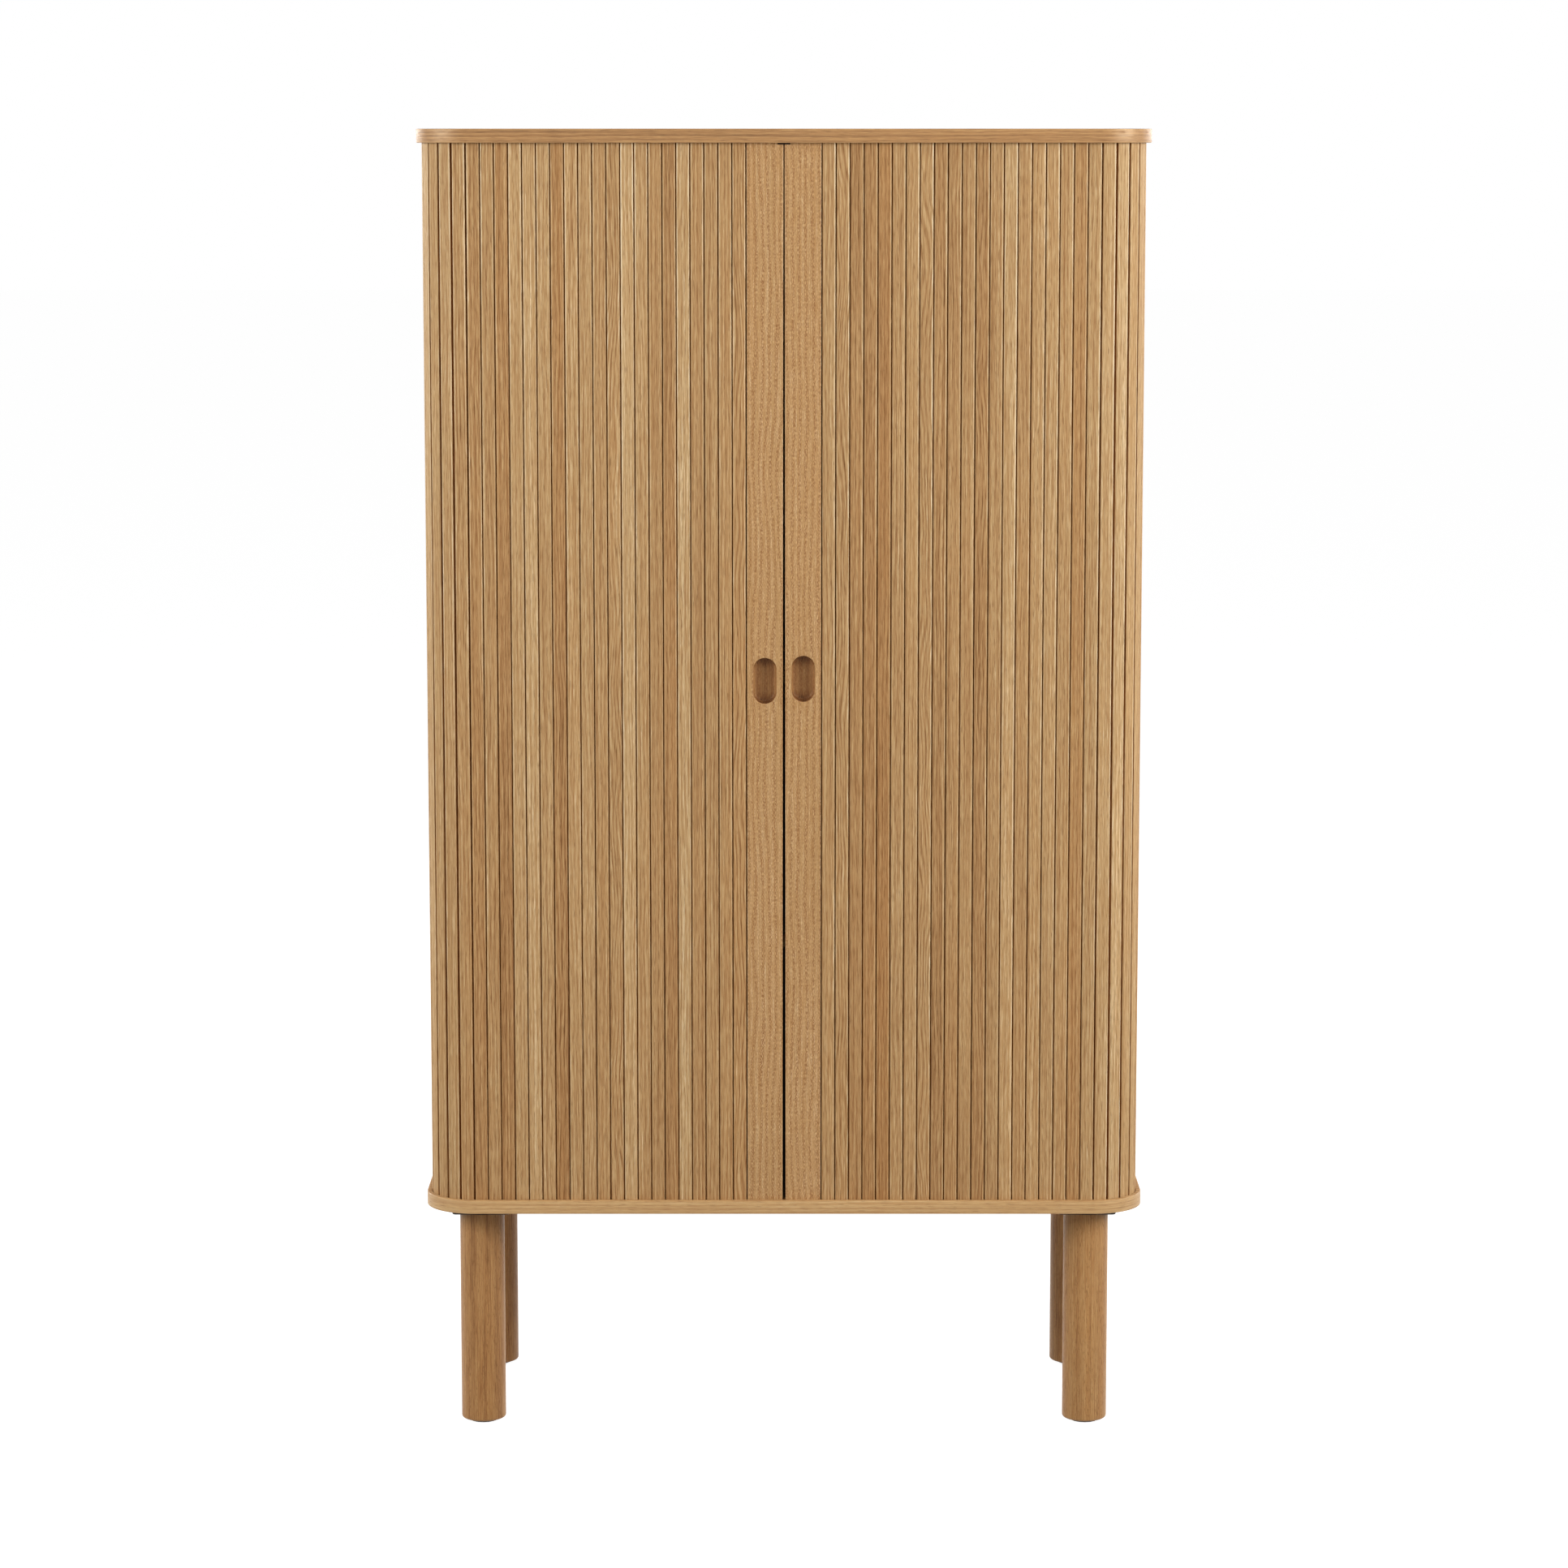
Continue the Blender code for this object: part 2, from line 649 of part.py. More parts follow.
def make_legs():
    """Four legs, each bolted through a black plate and standing on a glide."""
    leg = turned("leg", leg_profile(), ROUND_STEPS)
    plate_outline = [
        rounded_rectangle(PLATE_SIZE / 2, PLATE_SIZE / 2, PLATE_CORNER, steps=4),
        circle(BOLT_RADIUS + BOLT_PLAY, SMALL_ROUND_STEPS),
    ]
    plate = prism("leg_plate", plate_outline, PLATE_BOTTOM, PLATE_BOTTOM + PLATE_THICKNESS)
    glide = prism("glide", [circle(GLIDE_RADIUS, SMALL_ROUND_STEPS)], 0.0, GLIDE_THICKNESS)
    bolt = prism(
        "leg_bolt",
        [circle(BOLT_RADIUS, SMALL_ROUND_STEPS)],
        LEG_TOP - BOLT_IN_LEG,
        BOTTOM_UNDER + BOLT_IN_BOARD,
    )
    parts = {
        "leg": (leg, "oak_leg"),
        "leg_plate": (plate, "black_metal"),
        "leg_bolt": (bolt, "zinc"),
        "glide": (glide, "glide_plastic"),
    }
    for end, sign_y in ENDS.items():
        for side, sign_x in SIDES.items():
            place = (sign_x * LEG_X, sign_y * LEG_Y, 0)
            for kind, (mesh, finish) in parts.items():
                add_piece(f"{kind}_{end}_{side}", mesh, finish, place)


make_boards()
make_doors()
make_door_stop()
make_carcass()
make_shelves()
make_legs()
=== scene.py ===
"""Looks of the tambour cupboard: its oak, metal and canvas, the studio and the camera.

Metres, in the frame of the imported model: +Z up, front at -Y, origin on the floor.
"""

import json
import math
import random

import bmesh
import bpy
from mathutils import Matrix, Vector


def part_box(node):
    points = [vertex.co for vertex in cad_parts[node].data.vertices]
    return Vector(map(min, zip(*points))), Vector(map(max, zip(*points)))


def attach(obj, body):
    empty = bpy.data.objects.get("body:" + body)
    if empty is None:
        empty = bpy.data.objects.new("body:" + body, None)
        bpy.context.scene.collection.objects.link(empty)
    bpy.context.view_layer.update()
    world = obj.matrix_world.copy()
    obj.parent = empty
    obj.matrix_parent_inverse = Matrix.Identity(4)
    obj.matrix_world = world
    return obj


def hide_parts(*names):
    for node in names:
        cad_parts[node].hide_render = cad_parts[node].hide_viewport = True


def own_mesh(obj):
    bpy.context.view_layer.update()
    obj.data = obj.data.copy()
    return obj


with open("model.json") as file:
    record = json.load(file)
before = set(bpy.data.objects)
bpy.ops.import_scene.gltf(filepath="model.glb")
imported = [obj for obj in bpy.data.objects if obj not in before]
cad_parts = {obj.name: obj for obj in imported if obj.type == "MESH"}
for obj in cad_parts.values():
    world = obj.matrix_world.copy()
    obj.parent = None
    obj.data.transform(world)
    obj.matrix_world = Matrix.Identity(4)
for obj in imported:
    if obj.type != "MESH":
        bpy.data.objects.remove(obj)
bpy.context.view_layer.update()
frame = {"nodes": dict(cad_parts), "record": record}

SIDES = {"left": -1, "right": 1}
ENDS = ("front", "rear")

# Slats of each piece of curtain, counted from the lead slat
STRIPS = {
    "first_slat_{}": (0, 0),
    "front_slats_{}_1": (1, 5),
    "front_slats_{}_2": (6, 10),
    "front_slats_{}_3": (11, 15),
    "front_slats_{}_4": (16, 19),
    "corner_slats_{}": (20, 24),
    "side_slats_{}": (25, 40),
    "rear_corner_slats_{}": (41, 45),
    "tail_slats_{}": (46, 48),
}
RIDES_WITH = {"first_slat_{}": "{}_door", "tail_slats_{}": "{}_tail"}
ON_FACE, ON_CANVAS, ON_WALL = range(3)  # where a strip's materials go
FRONT_SLATS = 20  # those between the lead slat and the corner

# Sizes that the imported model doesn't give directly
SEAT = 0.0003  # gap left between pieces that rest on each other
TOUCHING = SEAT / 10  # how near a face a place still counts as on it
SLAT_GAP = 0.0014
SLAT_SHOULDER = (0.0020, 0.0009)  # how wide and how deep a slat's edges are rounded
CANVAS_THICKNESS = 0.0008
CANVAS_SINK = 0.1  # share of its thickness that the canvas lies behind the slats
GROOVE_OUTER_PLAY = 0.0010
GROOVE_INNER_PLAY = 0.0005
TOP_GROOVE_FLOOR = 0.008
BOTTOM_GROOVE_FLOOR = 0.010
BAND_THICKNESS = 0.0012
BAND_ROUND = 0.0009
LEAD_ROUND = 0.0014
LEAD_HIGHLIGHT_DEPTH = LEAD_ROUND * 0.7  # how deep the painted highlight on its rounded edges reaches
LEAD_END_PLAY = 0.0008
DOOR_GAP = (0.0012, 0.0037)  # between the doors, at the top and at the bottom
DOOR_GAP_BOW = 0.58  # below 1 it widens fastest near the top
BOW_STEPS = 10
PULL_WIDTH = 0.0282
PULL_HEIGHT = 0.0563
PULL_DEPTH = 0.012
PULL_REACH = PULL_DEPTH * 1.2  # a depth that its hollowed floor stays above
PULL_RIM = 0.0013
PULL_CUT = PULL_RIM * 1.02  # how far past its sides the cut of a finger pull starts
PULL_COVE = 0.0045
PULL_FLAT = 0.1  # share of the floor, from the cove inwards, that stays flat
PULL_DISH = 0.0008  # how much the floor of a finger pull is hollowed
PULL_DISH_RINGS = (0.35, 0.65, 0.95)  # where its rings lie, as shares of the way inwards
PULL_INSET = 0.0225
PULL_HEIGHTS = {"left": 0.6532, "right": 0.6557}  # above the bottom board
STOP_NOTCH = (0.016, 0.0020)  # width and height
LEG_FOOT_ROUND = 0.0032
LEG_HEAD_ROUND = 0.0006
LEG_FLAT = 0.4  # share of a leg's radius that the middle of its ends takes up
SHELF_ROUND = 0.0006
PLATE_CORNER = 0.005
PLATE_ROUND = 0.0010
PLATE_SLOPE = 0.007  # how far the plate's front and back edges slope in
ARC_STEPS = 28
ROUND_STEPS = 4
PROFILE_STEPS = 6
TURN_STEPS = 72
SHARP_ANGLE = 35  # degrees between faces from which an edge stays sharp
WALL_FACING = 0.95  # how squarely a slat's narrow side looks along the curtain
SHELVES = 3

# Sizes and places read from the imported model
TOP_LOW, TOP_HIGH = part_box("top_board")
BOTTOM_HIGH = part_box("bottom_board")[1]
FIRST_LOW, FIRST_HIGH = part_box("first_slat_right")
LEAD_LOW, LEAD_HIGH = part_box("lead_slat_right")
SLAT_BOTTOM = FIRST_LOW.z
SLAT_TOP = FIRST_HIGH.z
SLAT_THICKNESS = FIRST_HIGH.y - FIRST_LOW.y - CANVAS_THICKNESS
FACE_Y = -FIRST_LOW.y
CORNER_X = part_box("front_slats_right_4")[1].x + SEAT / 2
LEAD_EDGE = FIRST_LOW.x - SEAT / 2
FRONT_RUN = CORNER_X - LEAD_EDGE
PITCH = FRONT_RUN / FRONT_SLATS
CURTAIN_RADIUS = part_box("side_slats_right")[1].x - CORNER_X
BACK_RADIUS = CURTAIN_RADIUS - SLAT_THICKNESS
CORNER_Y = FACE_Y - CURTAIN_RADIUS
CORNER_RUN = BACK_RADIUS * math.pi / 2
SIDE_RUN = 2 * CORNER_Y
BOARD_RADIUS = TOP_HIGH.x - CORNER_X

# The wood of each piece: how light it is, how red and how figured, from the middle of its
# colours, and the light and shade painted on some pieces. Light and red may be below 0, and
# figure goes from 0 to 1.
SEED = 11
VENEER_WOOD = (0.05, 0.0, 0.2)
BAND_WOOD = {"top_board": (-0.20, 0.1, 0.1), "bottom_board": (0.06, 0.1, 0.0)}
SHELF_WOOD = (0.05, 0.0, 0.3)
LEG_LIGHT = {"left": -0.07, "right": 0.02}
REAR_LEG_PAINTED_SHADE = (-0.12, -0.25)  # painted shade: light and red of the rear legs, which stand in shade under the body
LEG_RED_SPREAD = 0.1
LEG_FIGURE = 0.2
SLAT_LIGHT_SPREAD = 0.055
SLAT_RED_SPREAD = 0.10
RED_DARKENS = 0.2  # how much darker a redder slat is
SLAT_FIGURE = 0.5  # the most that a plain slat has
DARK_SLATS = {"left": (5, 13, 17), "right": (2, 3, 4, 11)}
DARK_SLAT = (-0.11, 0.20)  # added to their light and red
FIGURED_SLATS = {"left": (0, 9), "right": (1, 7)}
CORNER_PAINTED_LIGHT = {"left": 0.06, "right": 0.14}  # painted light added to the slats on the front corner
PAINTED_EDGE_HIGHLIGHT = 0.58  # painted highlight: how much lighter a slat is along its rounded edges
# Shares of the painted highlight on each door's inner and outer slat edges
HIGHLIGHT_SHARES = {"left": ((0.4, 1.0), (0.4, 1.0)), "right": ((0.0, 0.3), (0.65, 0.95))}
HIGHLIGHT_FADE = {"left": 0.92, "right": 0.58}  # how much of that painted highlight is lost towards the floor
HIGHLIGHT_EVEN_TOP = 0.2  # the share of the height, from the top, along which the painted highlight is even
WALL_PAINTED_SHADE = 0.26  # painted shade: how much darker a slat's narrow sides are, in the gaps between slats
WALL_PAINTED_SHADE_RED = 0.6  # and how much redder that painted shade is
PAINTED_SHEEN_RED = 0.18  # painted sheen: how much redder a slat is at its foot than at its head, paler at the top
LEAD_LIGHT = 0.18
LEAD_FIGURE = {"left": 0.25, "right": 0.05}
LEAD_GAP_PAINTED_SHADE = (-0.45, 0.0, 0.0)  # painted shade on the sides that meet when the doors are shut
PULL_PAINTED_SHADE = 0.08  # painted shade: how much darker the middle of a finger pull is
PULL_END_PAINTED_SHADE = 0.40  # and how much more painted shade lies at its ends

# Camera
IMAGE = 1932  # pixels across the photograph
FOCAL_PIXELS = 5531
SENSOR = 36.0
CAMERA_PLACE = (0.0, -5.678, 1.627)
CAMERA_TILT = 7.69  # degrees below level
CAMERA_SHIFT = -0.032

# Studio
AMBIENT = 0.14
LIT_MIDDLE = (0.0, 0.0, 1.1)
SOFT_BOX = (2.3, 1.5)
LAMP_DISTANCE = 3.6
LAMP_HEIGHT = 2.1
FRONT_AZIMUTH = 57.0
FRONT_POWER = {"left": 89.0, "right": 114.0}
REAR_AZIMUTH = 135.0
REAR_POWER = 50.0
ABOVE_POWER = 16.0
ABOVE_LAMP = (0.0, 1.2, 4.2, (3.0, 1.8))  # azimuth, distance, height and size
FLOOR_REACH = 40.0
FLOOR_TONE = 0.4
FLOOR_GLOW = 0.935

# Oak: scales of its noises across, into and along the wood
SWAY_SCALE = (16, 16, 4.0)
WANDER_SCALE = (26, 26, 6.0)
DRIFT_SCALE = (9, 9, 2.4)
BAND_SCALE = (170, 170, 2.0)
STREAK_SCALE = (1000, 1000, 4.0)
FIBRE_SCALE = (1500, 1500, 45)

# Oak: how its marks add up
FIGURE_SWAY = 0.016  # metres that fully figured wood sways more
FIGURE_WANDER = 6.0  # growth rings that it wanders more
FIGURE_RINGS = 0.12  # how much more strongly its rings show
RING_SHARPNESS = 1.6
RING_CROWDING = 0.4  # how much the pores crowd along the rings
EVEN_CROWDING = 0.6
PORE_FADE = 0.10  # the rise of the noise over which a pore appears
DRIFT_RED = 0.8
BAND_RED = 0.9
FIBRE_ROUGHNESS = 0.16
PORE_ROUGHNESS = 0.18
FIBRE_RELIEF = 0.6  # of the depth of a pore
OAK_RELIEF = 0.0004
THREADS = 1400  # canvas threads to a metre


def srgb(red, green, blue):
    """A colour given as it looks on screen, 0 to 255, as the shader wants it."""
    linear = []
    for level in (red, green, blue):
        share = level / 255
        low = share / 12.92
        linear.append(low if share <= 0.04045 else ((share + 0.055) / 1.055) ** 2.4)
    return (*linear, 1.0)


# Shader nodes


def add_node(tree, kind, inputs=None, **settings):
    """A shader node. Its inputs are values to set or sockets to link."""
    made = tree.nodes.new("ShaderNode" + kind)
    for name, value in settings.items():
        setattr(made, name, value)
    for key, value in (inputs or {}).items():
        if isinstance(value, bpy.types.NodeSocket):
            tree.links.new(value, made.inputs[key])
        else:
            made.inputs[key].default_value = value
    return made


def maths(tree, operation, first, second=0.0):
    """One operation on two numbers or sockets."""
    return add_node(tree, "Math", {0: first, 1: second}, operation=operation).outputs[0]


def weighted(tree, parts, start):
    """Start plus each part's distance from one half times its weight."""
    total = start
    for socket, weight in parts:
        centred = maths(tree, "SUBTRACT", socket, 0.5)
        total = maths(tree, "ADD", total, maths(tree, "MULTIPLY", centred, weight))
    return total


def noise(tree, vector, scale, detail=2.0, roughness=0.5):
    """Noise stretched by a scale along each axis."""
    stretched = add_node(tree, "Mapping", {"Vector": vector, "Scale": scale})
    settings = {
        "Vector": stretched.outputs[0],
        "Scale": 1.0,
        "Detail": detail,
        "Roughness": roughness,
    }
    return add_node(tree, "TexNoise", settings).outputs[0]


def remap(tree, value, low, high, to_low=0.0, to_high=1.0):
    """The value carried from one range to another, and held inside it."""
    inputs = {0: value, 1: low, 2: high, 3: to_low, 4: to_high}
    return add_node(tree, "MapRange", inputs, interpolation_type="SMOOTHSTEP").outputs[0]


def mix_colours(tree, factor, first, second, how="MIX"):
    """Two colours mixed."""
    inputs = {0: factor, 6: first, 7: second}
    made = add_node(tree, "Mix", inputs, data_type="RGBA", blend_type=how)
    return made.outputs[2]


def ramp(tree, value, stops):
    """A colour looked up along stops of (place, colour)."""
    made = add_node(tree, "ValToRGB", {0: value})
    elements = made.color_ramp.elements
    while len(elements) < len(stops):
        elements.new(0.5)
    for element, (place, colour) in zip(elements, stops):
        element.position = place
        element.color = colour
    return made.outputs[0]


def new_material(name, roughness, metallic=0.0):
    """A material and its tree and shader."""
    material = bpy.data.materials.new(name)
    material.use_nodes = True
    tree = material.node_tree
    shader = tree.nodes["Principled BSDF"]
    shader.inputs["Roughness"].default_value = roughness
    shader.inputs["Metallic"].default_value = metallic
    return material, tree, shader


def even_noise(tree, scale, detail):
    """Noise of one scale along every axis of a piece."""
    place = add_node(tree, "TexCoord").outputs["Object"]
    return noise(tree, place, (scale, scale, scale), detail)


def add_bump(tree, shader, height, strength, distance):
    """Relief on a shader from a height."""
    inputs = {"Height": height, "Strength": strength, "Distance": distance}
    bump = add_node(tree, "Bump", inputs)
    tree.links.new(bump.outputs[0], shader.inputs["Normal"])


def oak(name, look, carried_over=False):
    """Matt lacquered oak. Its third grain coordinate runs along the wood.

    A new piece carries its grain coordinates and its character with its mesh: how light,
    how red and how figured it is, with the light and shade painted on some pieces. A
    carried-over piece takes its place in the cupboard.
    """
    material, tree, shader = new_material(name, look["roughness"])
    shader.inputs["Specular IOR Level"].default_value = look["gloss"]
    shader.inputs["Specular Tint"].default_value = look["gloss_tint"]
    if carried_over:
        straight = add_node(tree, "TexCoord").outputs["Object"]
    else:
        straight = add_node(tree, "Attribute", attribute_name="grain").outputs["Vector"]
    character = add_node(tree, "Attribute", attribute_name="character").outputs["Vector"]
    light, red, figure = add_node(tree, "SeparateXYZ", {0: character}).outputs

    slow = noise(tree, straight, SWAY_SCALE, detail=1.0)
    reach = maths(tree, "ADD", look["sway"], maths(tree, "MULTIPLY", figure, FIGURE_SWAY))
    sway = maths(tree, "MULTIPLY", maths(tree, "SUBTRACT", slow, 0.5), reach)
    moved = add_node(tree, "CombineXYZ", {0: sway}).outputs[0]
    inputs = {0: straight, 1: moved}
    grain = add_node(tree, "VectorMath", inputs, operation="ADD").outputs[0]
    across = add_node(tree, "SeparateXYZ", {0: grain}).outputs[0]

    drift = noise(tree, grain, DRIFT_SCALE, detail=3.0)
    bands = noise(tree, grain, BAND_SCALE, detail=2.0, roughness=0.6)
    streaks = noise(tree, grain, STREAK_SCALE, detail=1.5, roughness=0.6)
    fibres = noise(tree, grain, FIBRE_SCALE, detail=2.0, roughness=0.6)
    specks = noise(tree, grain, look["pore_scale"])

    wander = noise(tree, straight, WANDER_SCALE, detail=1.5)
    bent = maths(tree, "ADD", look["wander"], maths(tree, "MULTIPLY", figure, FIGURE_WANDER))
    bend = maths(tree, "MULTIPLY", wander, bent)
    turns = maths(tree, "ADD", maths(tree, "MULTIPLY", across, look["rings"]), bend)
    wave = maths(tree, "SINE", maths(tree, "MULTIPLY", turns, 2 * math.pi))
    rings = maths(tree, "POWER", remap(tree, wave, -1.0, 1.0), RING_SHARPNESS)
    crowds = [(rings, RING_CROWDING), (streaks, look["crowding"])]
    crowding = weighted(tree, crowds, EVEN_CROWDING)
    pores = remap(tree, specks, look["pore_from"], look["pore_from"] + PORE_FADE)
    pores = maths(tree, "MULTIPLY", pores, crowding)

    ringed = maths(tree, "MULTIPLY", figure, -FIGURE_RINGS)
    parts = [
        (drift, look["drift"]),
        (bands, look["bands"]),
        (streaks, look["streaks"]),
        (fibres, look["fibres"]),
        (rings, maths(tree, "SUBTRACT", ringed, look["ring_weight"])),
    ]
    shade = maths(tree, "ADD", weighted(tree, parts, 0.5), light)
    colour = ramp(tree, shade, look["stops"])
    tints = [(drift, DRIFT_RED), (bands, BAND_RED)]
    redness = maths(tree, "ADD", red, weighted(tree, tints, look["redness"]))
    reddened = mix_colours(tree, 1.0, colour, look["red_tint"], how="MULTIPLY")
    colour = mix_colours(tree, remap(tree, redness, 0.0, 1.0), colour, reddened)
    pore_depth = maths(tree, "MULTIPLY", pores, look["pore_depth"])
    colour = mix_colours(tree, pore_depth, colour, look["pore_colour"])
    tree.links.new(colour, shader.inputs["Base Color"])

    uneven = maths(tree, "MULTIPLY", pores, PORE_ROUGHNESS)
    rough = weighted(tree, [(fibres, FIBRE_ROUGHNESS)], look["roughness"])
    rough = maths(tree, "ADD", rough, uneven)
    tree.links.new(rough, shader.inputs["Roughness"])
    height = maths(tree, "SUBTRACT", maths(tree, "MULTIPLY", fibres, FIBRE_RELIEF), pores)
    add_bump(tree, shader, height, look["bump"], OAK_RELIEF)
    return material


OAK = {
    "roughness": 0.55,
    "gloss": 0.14,
    "gloss_tint": (1.0, 0.94, 0.84, 1.0),
    "pore_scale": (1400, 1400, 70),
    "pore_from": 0.54,
    "pore_depth": 0.55,
    "pore_colour": srgb(118, 78, 44),
    "crowding": 2.0,
    "sway": 0.004,
    "wander": 1.2,
    "rings": 210.0,
    "ring_weight": 0.10,
    "drift": 0.16,
    "bands": 0.20,
    "streaks": 1.00,
    "fibres": 1.10,
    "redness": 0.30,
    "red_tint": (0.97, 0.86, 0.75, 1.0),
    "bump": 0.30,
    "stops": [
        (0.00, srgb(84, 54, 28)),
        (0.14, srgb(134, 93, 54)),
        (0.38, srgb(174, 131, 84)),
        (0.60, srgb(192, 154, 103)),
        (0.80, srgb(209, 176, 128)),
        (1.00, srgb(238, 214, 172)),
    ],
}
SLAT_LOOK = dict(
    OAK,
    stops=[
        (0.00, srgb(86, 56, 30)),
        (0.14, srgb(135, 95, 57)),
        (0.38, srgb(175, 133, 88)),
        (0.60, srgb(193, 156, 108)),
        (0.80, srgb(210, 178, 132)),
        (1.00, srgb(238, 215, 175)),
    ],
    streaks=0.90,
)
WALL_LOOK = dict(OAK, roughness=0.8, gloss=0.0, redness=1.0)
LEAD_LOOK = dict(
    OAK,
    roughness=0.38,
    gloss=0.22,
    pore_scale=(1500, 1500, 300),
    pore_from=0.44,
    pore_depth=0.95,
    pore_colour=srgb(142, 94, 56),
    crowding=0.8,
    red_tint=(0.99, 0.885, 0.81, 1.0),
    sway=0.002,
    wander=1.4,
    rings=120.0,
    ring_weight=0.04,
    bands=0.16,
    streaks=0.60,
    fibres=0.90,
    drift=0.20,
    redness=0.68,
)
BOARD_LOOK = dict(
    OAK,
    rings=95.0,
    wander=3.2,
    ring_weight=0.12,
    bands=0.40,
    streaks=0.80,
    fibres=0.70,
    redness=0.40,
)
VENEER_LOOK = dict(BOARD_LOOK, roughness=0.60, gloss=0.22)
BAND_LOOK = dict(
    BOARD_LOOK,
    roughness=0.44,
    gloss=1.0,
    gloss_tint=(1.0, 0.84, 0.60, 1.0),
    redness=0.28,
    wander=0.9,
    rings=190.0,
    bands=0.36,
    streaks=0.60,
)
LEG_LOOK = dict(
    OAK,
    roughness=0.42,
    gloss=0.26,
    pore_scale=(900, 900, 150),
    rings=60.0,
    wander=1.0,
    ring_weight=0.06,
    bands=0.44,
    streaks=0.70,
    fibres=0.90,
    redness=0.76,
    red_tint=(0.90, 0.75, 0.62, 1.0),
)
PANEL_LOOK = dict(OAK, rings=55.0, wander=2.6, ring_weight=0.16, gloss=0.26, bands=0.70)


def lacquered_metal():
    """Black powder-coated steel."""
    material, tree, shader = new_material("black_lacquer", 0.5)
    shader.inputs["Specular IOR Level"].default_value = 0.15
    grain = even_noise(tree, 2600, detail=2.0)
    wear = even_noise(tree, 60, detail=4.0)
    colour = ramp(tree, wear, [(0.3, srgb(19, 16, 14)), (0.7, srgb(28, 24, 21))])
    tree.links.new(colour, shader.inputs["Base Color"])
    rough = weighted(tree, [(wear, 0.25)], 0.48)
    tree.links.new(rough, shader.inputs["Roughness"])
    add_bump(tree, shader, grain, 0.25, 0.0002)
    return material


def zinc():
    """Zinc-plated steel, a little cloudy."""
    material, tree, shader = new_material("zinc_plate", 0.34, metallic=1.0)
    cloud = even_noise(tree, 900, detail=4.0)
    colour = ramp(tree, cloud, [(0.3, srgb(170, 172, 176)), (0.7, srgb(205, 206, 208))])
    tree.links.new(colour, shader.inputs["Base Color"])
    tree.links.new(weighted(tree, [(cloud, 0.3)], 0.34), shader.inputs["Roughness"])
    add_bump(tree, shader, cloud, 0.15, 0.0001)
    return material


def moulded_plastic():
    """Dark grey plastic of the glides, finely grained."""
    material, tree, shader = new_material("glide_plastic", 0.62)
    grain = even_noise(tree, 1800, detail=3.0)
    colour = ramp(tree, grain, [(0.3, srgb(44, 42, 40)), (0.7, srgb(62, 59, 56))])
    tree.links.new(colour, shader.inputs["Base Color"])
    add_bump(tree, shader, grain, 0.4, 0.0002)
    return material


def canvas():
    """Woven cotton that the slats are glued to."""
    material, tree, shader = new_material("brown_canvas", 0.9)
    shader.inputs["Specular IOR Level"].default_value = 0.05
    place = add_node(tree, "Attribute", attribute_name="grain").outputs["Vector"]
    across, _, along = add_node(tree, "SeparateXYZ", {0: place}).outputs
    warp = maths(tree, "SINE", maths(tree, "MULTIPLY", across, 2 * math.pi * THREADS))
    weft = maths(tree, "SINE", maths(tree, "MULTIPLY", along, 2 * math.pi * THREADS))
    weave = maths(tree, "MULTIPLY", warp, weft)
    slub = noise(tree, place, (300, 300, 90), detail=3.0)
    shade = maths(tree, "ADD", slub, maths(tree, "MULTIPLY", weave, 0.12))
    colour = ramp(tree, shade, [(0.3, srgb(176, 100, 42)), (0.7, srgb(204, 128, 64))])
    tree.links.new(colour, shader.inputs["Base Color"])
    add_bump(tree, shader, weave, 0.5, 0.0002)
    return material


# Meshes


def new_object(name, solid):
    """Turn a bmesh into an object of the scene."""
    bmesh.ops.recalc_face_normals(solid, faces=solid.faces)
    mesh = bpy.data.meshes.new(name)
    solid.to_mesh(mesh)
    solid.free()
    made = bpy.data.objects.new(name, mesh)
    bpy.context.scene.collection.objects.link(made)
    return made


def finish_mesh(name, solid, materials, body, replaces=()):
    """Turn a bmesh into a piece of the cupboard that rides on a body."""
    piece = new_object(name, solid)
    piece.data.shade_smooth()
    piece.data.set_sharp_from_angle(angle=math.radians(SHARP_ANGLE))
    for material in materials:
        piece.data.materials.append(material)
    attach(piece, body)
    if replaces:
        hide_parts(*replaces)
    return piece


def paint(solid, faces, grain, character=(0.0, 0.0, 0.0)):
    """Give the corners of faces their grain coordinates and their character: the wood's tone,
    with any painted light and shade.
    """
    grain_layer = solid.loops.layers.float_vector.get("grain")
    character_layer = solid.loops.layers.float_vector.get("character")
    for face in faces:
        for corner, place in zip(face.loops, grain(face)):
            found = character(corner.vert.co) if callable(character) else character
            corner[grain_layer] = place
            corner[character_layer] = found


def add_layers(solid):
    """The layers that the oak reads."""
    solid.loops.layers.float_vector.new("grain")
    solid.loops.layers.float_vector.new("character")


def new_solid():
    """An empty bmesh with the layers that the oak reads."""
    solid = bmesh.new()
    add_layers(solid)
    return solid


def turned_grain(order, offset):
    """Grain coordinates taken from a corner's place, its axes in the order given."""

    def places(face):
        return [
            Vector([corner.vert.co[axis] for axis in order]) + offset for corner in face.loops
        ]

    return places


def random_offset(chance):
    """Somewhere else in the tree."""
    return Vector([chance.uniform(0.0, 9.0) for _ in range(3)])


